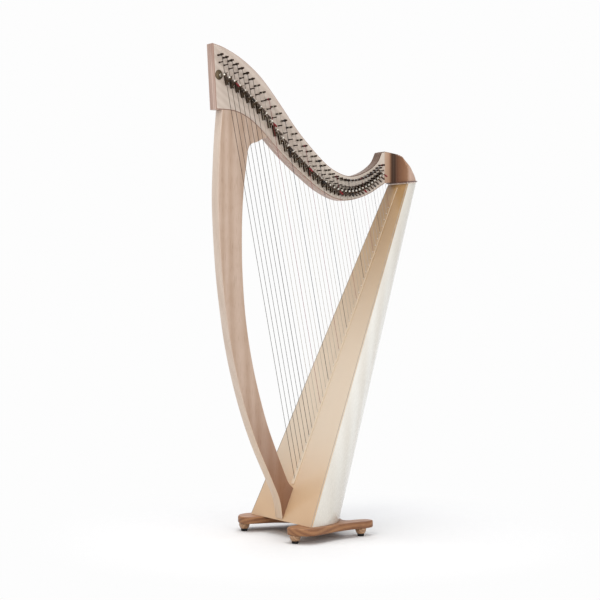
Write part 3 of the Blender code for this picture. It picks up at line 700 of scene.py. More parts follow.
@dataclass(frozen=True)
class HarpPlan:
    """The harp's shared measures, from which every piece takes its place."""

    shift: float
    seat: float = 0.0003
    foot_height: float = 0.0266
    box_foot_z: float = 0.0499
    box_top_z: float = 1.1584
    block_foot_z: float = 1.1666
    neck_top_z: float = 1.270
    board_foot_x: float = 0.043
    rake: float = math.radians(66.47)
    board_thickness: float = 0.004
    box_foot_half: float = 0.1765
    box_top_half: float = 0.0535
    box_foot_depth: float = 0.199
    box_top_depth: float = 0.068
    box_top_slope: float = 0.08
    box_wall: float = 0.006
    oval_steps: int = 72
    neck_near_y: float = 0.014
    neck_thickness: float = 0.040
    block_run: float = 0.0458
    string_tilt: float = math.radians(11.70)
    string_off_neck: float = 0.018

    @property
    def box_top_front_x(self) -> float:
        """x of the soundboard's front at the soundbox's top."""
        return self.board_x(self.box_top_z)

    @property
    def joint_x(self) -> float:
        """x of the joint between neck and shoulder block."""
        return self.box_top_front_x - self.block_run

    @property
    def string_top_y(self) -> float:
        """y of the strings at their bridge pins."""
        return self.neck_near_y - self.string_off_neck

    @property
    def off_board(self) -> Matrix:
        """The turn from the z axis to the way square out of the soundboard's front."""
        return Matrix.Rotation(-(math.pi / 2.0 + self.rake), 4, "Y")

    def board_x(self, z: float) -> float:
        """Return x on the soundboard's front face at a height."""
        return self.board_foot_x + (z - self.box_foot_z) / math.tan(self.rake)

    def behind(self, distance: float) -> float:
        """Turn a distance square to the soundboard into a level one."""
        return distance / math.sin(self.rake)

    def box_at(self, share: float) -> tuple[float, float, float]:
        """Return the soundbox's half width, its depth and its height at a share of its height."""
        return (blend(self.box_foot_half, self.box_top_half, share),
                blend(self.box_foot_depth, self.box_top_depth, share),
                blend(self.box_foot_z, self.box_top_z, share))

    def section(self, share: float, grow: float = 0.0, front: float = 0.0, lift: float = 0.0,
                corner: Optional[float] = None) -> list[Vector]:
        """Draw the soundbox's half-oval at a share of its height.

        Args:
            share: The share of the height.
            grow: How much wider and deeper it is.
            front: How far behind the board's front face its ends are cut.
            lift: How far the whole section is raised.
            corner: Where the square corner at each end lies behind the board's front face.

        Returns:
            The points from the near corner to the far one.
        """
        half, depth, z = self.box_at(share)
        half += grow
        depth += grow
        lead = math.asin(front / depth)
        shares = (step / self.oval_steps for step in range(self.oval_steps + 1))
        angles = [blend(lead, math.pi - lead, part) for part in shares]
        level = [(depth * math.sin(angle), -half * math.cos(angle)) for angle in angles]
        if corner is not None:
            level = [(corner, level[0][1]), *level, (corner, level[-1][1])]
        slope = share * self.box_top_slope
        return [Vector((self.board_x(z) + x, y, z + slope * x + lift)) for x, y in level]


@dataclass(frozen=True)
class StringLine:
    """One string's course: its note, its gauge and the places of its pins and lever."""

    plan: HarpPlan
    number: int
    count: int = 38
    first_x: float = -0.1043
    last_inset: float = 0.01085
    spacing_step: float = 0.0001
    bass_radius: float = 0.00075
    treble_radius: float = 0.00035
    black_share: float = 1.28
    rib_thickness: float = 0.0033
    pin_side: float = 0.0025
    bridge_radius: float = 0.0020
    lever_offset: float = 0.0052
    lever_share: float = 0.050
    lever_nearest: float = 0.0095
    lever_farthest: float = 0.041

    TUNING_ROW = (
        (-0.200, 1.549), (-0.145, 1.527), (-0.085, 1.490), (-0.020, 1.430), (0.061, 1.346),
        (0.140, 1.269), (0.215, 1.208), (0.262, 1.176), (0.318, 1.164), (0.374, 1.172),
        (0.430, 1.200), (0.475, 1.235),
    )
    BRIDGE_ROW = (
        (-0.200, 1.528), (-0.143, 1.505), (-0.085, 1.464), (-0.019, 1.408), (0.060, 1.316),
        (0.142, 1.240), (0.213, 1.1845), (0.264, 1.155), (0.327, 1.142), (0.385, 1.155),
        (0.430, 1.179), (0.475, 1.213),
    )

    @property
    def note(self) -> str:
        """The note that the string sounds, such as c4."""
        octave, place = divmod(11 + self.number, 7)
        return f"{'cdefgab'[place]}{octave}"

    @property
    def share(self) -> float:
        """How far the string is from the first one, as a share of the way to the last."""
        return (self.number - 1) / (self.count - 1)

    @property
    def radius(self) -> float:
        """The string's radius, which falls from bass to treble; black strings are stouter."""
        stout = self.black_share if self.note[0] == Note.BLACK.value else 1.0
        return blend(self.bass_radius, self.treble_radius, self.share) * stout

    @property
    def bridge_z(self) -> float:
        """The height of the bridge pin."""
        return self.crosses(self.BRIDGE_ROW)

    @property
    def foot_z(self) -> float:
        """The height where the string enters the rib."""
        return self.meets_board(-self.rib_thickness)

    def x_at(self, z: float) -> float:
        """Find x on the string's line.

        Args:
            z: The height.

        Returns:
            x at that height.
        """
        span = self.plan.joint_x - self.last_inset - self.first_x
        gaps = self.count - 1
        first_gap = span / gaps + self.spacing_step * (gaps - 1) / 2.0
        passed = self.number - 1
        run = passed * first_gap - self.spacing_step * passed * (passed - 1) / 2.0
        return self.first_x + run - (z - self.plan.block_foot_z) * math.tan(self.plan.string_tilt)

    def meets_board(self, front: float) -> float:
        """Find the height where the line meets a plane along the board.

        Args:
            front: How far the plane lies behind the board's front.

        Returns:
            The height.
        """
        start_x = self.plan.board_foot_x + self.plan.behind(front)
        rise = 1.0 / math.tan(self.plan.rake) + math.tan(self.plan.string_tilt)
        return self.plan.box_foot_z + (self.x_at(self.plan.box_foot_z) - start_x) / rise

    def crosses(self, row: Sequence[Row]) -> float:
        """Find the height where the line crosses a row of pins.

        Args:
            row: The row's points, as x and z.

        Returns:
            The height.
        """
        path = curve_through(row, 3)
        for a, b in zip(path, path[1:]):
            before, after = (x - self.x_at(z) for x, z in (a, b))
            if before <= 0.0 < after:
                return blend(a[1], b[1], before / (before - after))
        raise ValueError(f"string {self.number} does not cross the row")

    def at(self, z: float) -> Vector:
        """Return the point on the string's straight length at a height."""
        share = (z - self.foot_z) / (self.bridge_z - self.foot_z)
        return Vector((self.x_at(z), self.plan.string_top_y * share, z))

    def tuning_axis(self) -> tuple[float, float]:
        """Return x and z of the tuning pin's axis."""
        z = self.crosses(self.TUNING_ROW)
        return self.x_at(z) - self.pin_side, z

    def bridge_axis(self) -> tuple[float, float]:
        """Return x and z of the bridge pin's axis."""
        return self.x_at(self.bridge_z) - self.bridge_radius, self.bridge_z

    def lever_axis(self) -> tuple[float, float]:
        """Find the lever's pivot, about a twentieth of the string below its bridge pin.

        Returns:
            x and z of the pivot.
        """
        lean = math.cos(self.plan.string_tilt)
        length = (self.bridge_z - self.foot_z) / lean
        drop = min(max(length * self.lever_share, self.lever_nearest), self.lever_farthest)
        z = self.bridge_z - drop * lean
        return self.x_at(z) - self.lever_offset / lean, z


@dataclass
class Workshop:
    """Hands finished meshes to the frame as pieces: placed, dressed and riding on their body."""

    plan: HarpPlan
    looks: dict[str, Material]

    def piece(self, name: str, mesh: Mesh, finishes: Sequence[str], slot: str,
              stands_for: Sequence[str] = (), body: str = BODY) -> None:
        """Make one piece of the harp.

        Args:
            name: The piece's name.
            mesh: Its mesh, in the drawing's place.
            finishes: The finishes of its slots. None are put on a mesh that brings its own.
            slot: Not used.
            stands_for: The frame's nodes that it takes the place of.
            body: The body that it rides on.
        """
        mesh.transform(Matrix.Translation((self.plan.shift, 0.0, 0.0)))
        for finish in finishes:
            mesh.materials.append(self.looks[finish])
        thing = set_down(name, mesh)
        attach(thing, body)
        if stands_for:
            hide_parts(*stands_for)
        LOG.info("%s: %d faces", name, len(mesh.polygons))

    def drawn(self, name: str, shells: Iterable[Shell], *given: Any) -> None:
        """Make one piece from its shells. What else is given is as for piece."""
        self.piece(name, as_mesh(name, joined(shells)), *given)

    def grown(self, name: str, tree: Tree, start: Mesh, values: dict[str, Any],
              finish: str) -> Mesh:
        """Run a geometry tree over a mesh.

        Args:
            name: The name of the result.
            tree: The geometry tree.
            start: The mesh that it starts from.
            values: The tree's inputs by name, but for its finish.
            finish: The finish that it sets.

        Returns:
            The mesh that the tree makes.
        """
        values = {**values, "Finish": self.looks[finish]}
        carrier = set_down(name, start)
        modifier = carrier.modifiers.new(tree.name, "NODES")
        modifier.node_group = tree
        for item in tree.interface.items_tree:
            if item.item_type == "SOCKET" and item.in_out == "INPUT" and item.name in values:
                modifier[item.identifier] = values[item.name]
        return worked(name, carrier)


class Jig:
    """The two geometry trees that set out what repeats along the neck and the board."""

    def __init__(self) -> None:
        """Build both trees."""
        self.set_out = self._set_out()
        self.drawn_wire = self._drawn_wire()

    @staticmethod
    def _begin(name: str, sockets: dict[str, str]) -> tuple[Tree, Any]:
        """Start a tree, with its geometry output and its named inputs.

        Args:
            name: The tree's name.
            sockets: The type of each input by the input's name.

        Returns:
            The tree, and the outputs of its group input.
        """
        tree = bpy.data.node_groups.new(name, "GeometryNodeTree")
        tree.interface.new_socket("Geometry", in_out="OUTPUT", socket_type="NodeSocketGeometry")
        for label, kind in {"Geometry": "Geometry", **sockets}.items():
            tree.interface.new_socket(label, in_out="INPUT", socket_type=f"NodeSocket{kind}")
        return tree, add(tree, "NodeGroupInput").node.outputs

    @staticmethod
    def _close(tree: Tree, shape: Socket, finish: Socket) -> Tree:
        """End a tree: real geometry in its finish.

        Args:
            tree: The geometry tree.
            shape: The socket with what the tree made.
            finish: The socket with the material.

        Returns:
            The tree.
        """
        real = add(tree, "GeometryNodeRealizeInstances", (shape,))
        worn = {"Geometry": real, "Material": finish}
        dressed = add(tree, "GeometryNodeSetMaterial", worn)
        wire(tree, tree.nodes.new("NodeGroupOutput"), (dressed,))
        return tree

    def _set_out(self) -> Tree:
        """Build the tree that puts a copy of one fitting on each point of a row.

        Returns:
            The tree.
        """
        tree, given = self._begin("set_out_fittings", {
            "Fitting": "Object", "Turn": "Float", "Seed": "Int", "Finish": "Material",
        })
        fitting = add(tree, "GeometryNodeObjectInfo", {"Object": given["Fitting"]}, "Geometry")
        draw = {"Seed": given["Seed"], 3: given["Turn"]}
        chance = add(tree, "FunctionNodeRandomValue", draw, 1, data_type="FLOAT")
        about = add(tree, "ShaderNodeCombineXYZ", {"Y": chance})
        copies = add(tree, "GeometryNodeInstanceOnPoints", {
            "Points": given["Geometry"], "Instance": fitting,
            "Rotation": add(tree, "FunctionNodeEulerToRotation", (about,)),
        })
        return self._close(tree, copies, given["Finish"])

    def _drawn_wire(self) -> Tree:
        """Build the tree that draws a round string along each line, as thick as its gauge.

        Returns:
            The tree.
        """
        tree, given = self._begin("draw_strings", {"Sides": "Int", "Finish": "Material"})
        named = {"Name": "gauge"}
        section = {"Resolution": given["Sides"], "Radius": 1.0}
        cord = add(tree, "GeometryNodeCurveToMesh", {
            "Curve": add(tree, "GeometryNodeMeshToCurve", {"Mesh": given["Geometry"]}),
            "Profile Curve": add(tree, "GeometryNodeCurvePrimitiveCircle", section),
            "Scale": add(tree, "GeometryNodeInputNamedAttribute", named, data_type="FLOAT"),
            "Fill Caps": True,
        })
        return self._close(tree, cord, given["Finish"])


@dataclass
class BaseAndFeet:
    """The lobed base board on its four turned feet."""

    workshop: Workshop
    thickness: float = 0.023
    rounding: float = 0.0042
    pad_height: float = 0.0090
    cup_height: float = 0.0170
    rear_x: float = 0.257
    side_y: float = 0.150
    reach_y: float = 0.203

    HALF_OUTLINE = (
        (0.140, 0.000), (0.124, 0.050), (0.090, 0.082), (0.045, 0.099), (0.006, 0.110),
        (-0.016, 0.128), (-0.020, 0.149), (-0.009, 0.175), (0.015, 0.1965), (0.045, 0.203),
        (0.095, 0.190), (0.150, 0.176), (0.215, 0.170), (0.270, 0.172), (0.296, 0.163),
        (0.301, 0.145), (0.290, 0.127), (0.262, 0.118), (0.230, 0.115), (0.224, 0.094),
        (0.237, 0.064), (0.245, 0.032), (0.248, 0.000),
    )

    def build(self) -> None:
        """Build the board, the cups and the pads."""
        shop = self.workshop
        half = [(x, min(y, self.reach_y)) for x, y in curve_through(self.HALF_OUTLINE, 8)]
        outline = half + [(x, -y) for x, y in reversed(half[1:-1])]
        stand = Matrix.Translation((0.0, 0.0, shop.plan.foot_height))
        lobes = plate(outline, self.thickness, stand, self.rounding)
        shop.drawn("base_lobes", [lobes], ["stained_maple"], "stained_maple", ["base_board"])
        low = self.pad_height + shop.plan.seat
        top = low + self.cup_height
        bulge = curve_through([
            (0.0166, top), (0.0177, top - 0.0030), (0.0176, top - 0.0064),
            (0.0164, top - 0.0105), (0.0145, low + 0.0025), (0.0132, low),
        ], 5)
        cup = [(0.0, top), *bulge, (0.0, low)]
        pad = [
            (0.0, self.pad_height), (0.0100, self.pad_height), (0.0108, self.pad_height - 0.0008),
            (0.0108, 0.0030), (0.0102, 0.0011), (0.0088, 0.0), (0.0, 0.0),
        ]
        for corner, x, y in (
            ("front_near", 0.0, -self.side_y), ("front_far", 0.0, self.side_y),
            ("rear_near", self.rear_x, -self.side_y), ("rear_far", self.rear_x, self.side_y),
        ):
            stand = Matrix.Translation((x, y, 0.0))
            shop.drawn(f"turned_cup_{corner}", [turned(cup, stand, 48)], ["turned_maple"],
                       "maple_pale", [f"foot_cup_{corner}"])
            shop.drawn(f"rubber_pad_{corner}", [turned(pad, stand, 40)], ["black_rubber"],
                       "rubber", [f"foot_pad_{corner}"])


@dataclass
class Soundbox:
    """The rounded shell with its sound holes, its closing pieces and the trim on them."""

    workshop: Workshop
    rows: int = 24
    rim_radius: float = 0.0021
    binding_width: float = 0.0026
    binding_proud: float = 0.0004
    binding_sunk: float = 0.00002
    cap_thickness: float = 0.0033
    plate_thickness: float = 0.0040
    plate_overhang: float = 0.0045
    plate_rounding: float = 0.0007

    # For each sound hole, its share of the way up the back, its length and its width
    SOUND_HOLES = (
        (0.150, 0.150, 0.095), (0.285, 0.130, 0.082), (0.450, 0.110, 0.068), (0.600, 0.090, 0.054),
    )

    def _shell(self) -> Shell:
        """Draw the open shell: an outer and an inner skin with rims between them.

        Returns:
            The shell, with a map that runs around and up it.
        """
        plan = self.workshop.plan
        front = plan.behind(plan.board_thickness + plan.seat)
        bm = bmesh.new()
        layer = bm.loops.layers.uv.new("staves")
        where: dict[bmesh.types.BMVert, Row] = {}
        grids = []
        for grow in (0.0, -plan.box_wall):
            grid = []
            for share in (k / self.rows for k in range(self.rows + 1)):
                ring = plan.section(share, grow, front)
                grid.append([bm.verts.new(point) for point in ring])
                where.update({
                    vert: (j / plan.oval_steps, share) for j, vert in enumerate(grid[-1])
                })
            grids.append(grid)
        outer, inner = grids
        sheets = [*zip(outer, outer[1:]), *zip(inner, inner[1:])]
        sheets += [([row[j] for row in outer], [row[j] for row in inner]) for j in (0, -1)]
        sheets += [(outer[k], inner[k]) for k in (0, -1)]
        for low, high in sheets:
            for corners in zip(low, low[1:], high[1:], high):
                bm.faces.new(corners)
        for face in bm.faces:
            for loop in face.loops:
                loop[layer].uv = where[loop.vert]
        return outward(bm)

    def _on_back(self, point: Vector, along: Vector) -> Vector:
        """Find where the shell's back lies beside a point near it.

        Args:
            point: A point near the back.
            along: The back's own direction, upwards.

        Returns:
            The point on the shell at the same width and the same way up the back.
        """
        plan = self.workshop.plan
        low, high = 0.0, 1.0
        for _ in range(24):
            share = (low + high) / 2.0
            half, depth, z = plan.box_at(share)
            level = depth * math.sqrt(max(1.0 - (point.y / half) ** 2, 0.0))
            rise = share * plan.box_top_slope * level
            found = Vector((plan.board_x(z) + level, point.y, z + rise))
            if (found - point).dot(along) > 0.0:
                high = share
            else:
                low = share
        return found

    def _holes(self) -> tuple[list[Shell], list[Shell]]:
        """Draw the sound holes up the back.

        Returns:
            The shapes to cut out, and the rims.
        """
        plan = self.workshop.plan
        foot = Vector((plan.board_foot_x + plan.box_foot_depth, 0.0, plan.box_foot_z))
        top = Vector((plan.box_top_front_x + plan.box_top_depth, 0.0, plan.box_top_z))
        along = (top - foot).normalized()
        out = Vector((along.z, 0.0, -along.x))
        reach = out * (plan.box_top_depth / 2.0)
        cutters, rims = [], []
        for place, length, width in self.SOUND_HOLES:
            around = [
                foot.lerp(top, place) + along * (length / 2.0 * math.cos(angle))
                + Vector((0.0, width / 2.0 * math.sin(angle), 0.0)) for angle in round_steps(72)
            ]
            cutters.append(skin([[p - reach for p in around], [p + reach for p in around]]))
            edge = [self._on_back(point, along) for point in around]
            rims.append(hoop(edge, self.rim_radius, 10, out))
        return cutters, rims

    def build(self) -> None:
        """Build the shell, its hole rims, the cap, the plate and the board's bindings."""
        shop, plan = self.workshop, self.workshop.plan
        cutters, rims = self._holes()
        stock = set_down("stock", as_mesh("shell", self._shell()))
        tool = set_down("tool", as_mesh("tool", joined(cutters)))
        cut = stock.modifiers.new("cut", "BOOLEAN")
        cut.operation = "DIFFERENCE"
        cut.object = tool
        shell = worked("rounded_shell", stock, tool)
        shell.shade_smooth()
        shell.set_sharp_from_angle(angle=CREASE)
        shop.piece("rounded_shell", shell, ["pale_maple_staves"], "maple_pale",
                   ["soundbox_shell"])
        shop.drawn("sound_hole_rims", rims, ["pear_trim"], "maple_brown")

        lifts = (plan.seat, plan.seat + self.cap_thickness)
        cap = skin([plan.section(1.0, lift=lift) for lift in lifts])
        # The cap's near-white finish is pale wood with a painted highlight, bright in the shade
        # under the ledge
        shop.drawn("top_cap", [cap], ["sycamore_cap"], "maple_pale", ["soundbox_cap"])
        level = lifts[1] + plan.seat
        over, soft, high = self.plate_overhang, self.plate_rounding, self.plate_thickness
        ledge = skin([
            plan.section(1.0, grow=over - inset, lift=level + rise, corner=-over)
            for inset, rise in ((soft, 0.0), (0.0, soft), (0.0, high - soft), (soft, high))
        ])
        shop.drawn("shoulder_ledge", [ledge], ["dark_ledge"], "ebony", ["shoulder_plate"])
        strips = [
            skin([
                [
                    (plan.board_x(z) - off, side * wide, z) for off, wide in (
                        (self.binding_sunk, half - self.binding_width),
                        (self.binding_sunk, half), (plan.behind(self.binding_proud), half),
                        (plan.behind(self.binding_proud), half - self.binding_width),
                    )
                ]
                for half, _, z in (plan.box_at(0.0), plan.box_at(1.0))
            ])
            for side in (-1.0, 1.0)
        ]
        shop.drawn("board_bindings", strips, ["grey_binding"], "maple_brown")


@dataclass
class Shoulder:
    """The block that carries the neck, which flares from the neck through a cove."""

    workshop: Workshop
    cove_radius: float = 0.030
    cove_steps: int = 20
    arc_steps: int = 56
    fall_back: float = 0.17
    fall_near: float = 0.54
    rounding: float = 0.0012
    off_far_face: float = 0.0005
    peak_off: tuple[float, float] = (0.002, 0.0005)
    joint_grip: float = 0.0001

    # Share of the height, of the near half width and of the depth, far inset, share of the fall
    SECTIONS = (
        (0.00, 1.000, 1.000, 0.000, 0.00), (0.20, 0.990, 0.880, 0.000, 0.03),
        (0.40, 0.980, 0.700, 0.000, 0.12), (0.64, 0.950, 0.560, 0.000, 0.42),
        (0.85, 0.800, 0.400, 0.000, 0.72), (0.96, 0.600, 0.260, 0.003, 0.80),
        (1.00, 0.450, 0.170, 0.008, 0.70),
    )

    def _ring(self, row: Row) -> list[Vector]:
        """Draw one section of the block.

        Args:
            row: Its measures, in the order of SECTIONS.

        Returns:
            The section's points.
        """
        plan = self.workshop.plan
        share, near, depth, inset, fall = row
        back_x = plan.joint_x + plan.seat
        far_y = plan.neck_near_y + plan.neck_thickness
        front_x = plan.box_top_front_x
        outline = [(back_x, plan.neck_near_y)]
        for step in range(self.cove_steps + 1):
            angle = math.pi / 2.0 * (1.0 - step / self.cove_steps)
            outline.append((
                front_x - self.cove_radius + self.cove_radius * math.cos(angle),
                plan.neck_near_y - self.cove_radius + self.cove_radius * math.sin(angle),
            ))
        for step in range(self.arc_steps + 1):
            angle = math.pi * step / self.arc_steps
            side = far_y - self.off_far_face - inset
            if math.cos(angle) > 0.0:
                side = plan.box_top_half * near
            reach = plan.box_top_depth * depth * math.sin(angle)
            outline.append((front_x + reach, -side * math.cos(angle)))
        outline.append((back_x, far_y))
        level = blend(plan.block_foot_z, plan.neck_top_z, share)
        points = []
        for x, y in outline:
            slope = plan.box_top_slope * (1.0 - share) * (x - front_x)
            drop = (x - back_x) * self.fall_back + max(plan.neck_near_y - y, 0.0) * self.fall_near
            points.append(Vector((x, y, level + slope - fall * drop)))
        return points

    def build(self) -> None:
        """Build the block."""
        plan = self.workshop.plan
        rings = [self._ring(row) for row in curve_through(self.SECTIONS, 6)]
        joint_x = plan.joint_x + plan.seat
        off_x, off_y = self.peak_off
        middle = Vector((plan.box_top_front_x + off_x, plan.neck_near_y + off_y, 0.0))
        drop = (middle.x - joint_x) * self.fall_back * self.SECTIONS[-1][-1]
        middle.z = plan.neck_top_z - drop
        rim = rings.pop()
        third = self.rounding * 0.3
        for inset, fall in ((0.0, self.rounding), (third, third), (self.rounding, 0.0)):
            ring = []
            for point in rim:
                inward = (middle - point).normalized() * inset
                x = point.x if point.x < joint_x + self.joint_grip else point.x + inward.x
                ring.append(Vector((x, point.y + inward.y, point.z + inward.z - fall)))
            rings.append(ring)
        rings.append([middle])
        self.workshop.drawn("flared_block", [skin(rings)], ["brown_ply_block"], "maple_brown",
                            ["shoulder_block"])


@dataclass
class NeckAndPillar:
    """The neck with its head, and the pillar that carries its bass end."""

    workshop: Workshop
    rounding: float = 0.0026
    joint_foot_z: float = 1.160
    joint_grip: float = 0.0005
    crest_from: tuple[float, float] = (0.27, 1.177)
    pillar_rounding: float = 0.0034
    pillar_near_y: float = -0.012
    pillar_top_front_x: float = -0.168
    pillar_tip_x: float = 0.001
    pillar_foot_z: float = 0.056
    pillar_seat_z: float = 0.153
    pillar_low_z: float = 0.16
    near_enough: float = 0.0012
    tip_drop: float = 0.0025

    UPPER_EDGE = (
        (-0.203, 1.580), (-0.156, 1.5675), (-0.089, 1.5356), (-0.020, 1.484), (0.050, 1.407),
        (0.1205, 1.3234), (0.1926, 1.2533), (0.2535, 1.2057), (0.315, 1.182), (0.362, 1.1845),
        (0.411, 1.2042), (0.448, 1.2325), (0.467, 1.267),
    )
    LOWER_EDGE = (
        (0.399, 1.1165), (0.305, 1.0975), (0.220, 1.125), (0.140, 1.177), (0.060, 1.2397),
        (-0.018, 1.3116), (-0.070, 1.350), (-0.123, 1.3694), (-0.1905, 1.3715),
    )
    PILLAR_FRONT = (
        (-0.178, 1.264), (-0.186, 1.130), (-0.1865, 1.040), (-0.179, 0.890), (-0.165, 0.753),
        (-0.141, 0.600), (-0.102, 0.445), (-0.054, 0.310), (0.004, 0.185), (0.033, 0.118),
    )
    PILLAR_INNER = (
        (0.069, 0.174), (0.052, 0.211), (0.020, 0.287), (-0.019, 0.392), (-0.061, 0.548),
        (-0.087, 0.702), (-0.098, 0.856), (-0.098, 1.000), (-0.090, 1.120), (-0.078, 1.206),
        (-0.071, 1.250), (-0.058, 1.268), (-0.036, 1.2755), (-0.016, 1.286),
    )

    def build(self) -> None:
        """Build both pieces."""
        shop, plan = self.workshop, self.workshop.plan
        upper = curve_through(self.UPPER_EDGE, 8)
        lower = curve_through([(plan.joint_x, self.joint_foot_z), *self.LOWER_EDGE], 8)
        outline = [*upper, (plan.joint_x, plan.neck_top_z), *lower]
        far_y = plan.neck_near_y + plan.neck_thickness
        neck = plate(
            outline, plan.neck_thickness, Matrix.Translation((0.0, far_y, 0.0)) @ FACING,
            self.rounding, 1,
            kept_sharp=lambda place: place.x > plan.joint_x - self.joint_grip,
        )
        for face in neck.faces:
            middle = face.calc_center_median()
            if (face.material_index and middle.x > self.crest_from[0]
                    and middle.z > self.crest_from[1]):
                face.material_index = 2
        shop.drawn("curved_neck", [neck], ["maple_veneer", "maple_ply_edge", "handled_maple_edge"],
                   "maple_face", ["neck"])

        tip, corner = (
            (x, height_on(lower, x)) for x in (self.pillar_tip_x, self.pillar_top_front_x)
        )
        seam = [point for point in lower if corner[0] < point[0] < tip[0]]
        top = [(x, z - plan.seat * 1.5) for x, z in (tip, *seam, corner)]
        gap = plan.behind(plan.seat)
        foot = [(plan.board_x(z) - gap, z) for z in (self.pillar_foot_z, self.pillar_seat_z)]
        toe = (plan.board_foot_x + plan.seat, self.pillar_foot_z)
        under_tip = (self.pillar_tip_x, top[0][1] - self.tip_drop)
        front = curve_through([top[-1], *self.PILLAR_FRONT, toe], 8)
        inner = curve_through([foot[1], *self.PILLAR_INNER, under_tip], 8)
        height = (tip[1] + corner[1]) / 2.0 - self.pillar_foot_z
        lean = (plan.neck_near_y - self.pillar_near_y) / height
        shear = Matrix.Identity(4)
        shear[1][2] = lean
        shear[1][3] = self.pillar_near_y - lean * self.pillar_foot_z

        def meets(place: Vector) -> bool:
            """Tell whether the pillar meets the neck or the board at a point of its outline.

            Args:
                place: The point, in the plate's own plane.

            Returns:
                Whether it does.
            """
            x = min(max(place.x, self.pillar_top_front_x), self.pillar_tip_x)
            on_neck = place.y > height_on(lower, x) - self.near_enough
            by_board = place.x > plan.board_x(place.y) - self.near_enough
            return on_neck or by_board and place.y < self.pillar_low_z

        pillar = plate(
            [*front, foot[0], *inner, *top[:-1]], plan.neck_thickness,
            shear @ Matrix.Translation((0.0, plan.neck_thickness, 0.0)) @ FACING,
            self.pillar_rounding, 1, kept_sharp=meets,
        )
        shop.drawn("curved_pillar", [pillar], ["pillar_veneer", "pillar_ply_edge"],
                   "maple_face", ["pillar"])


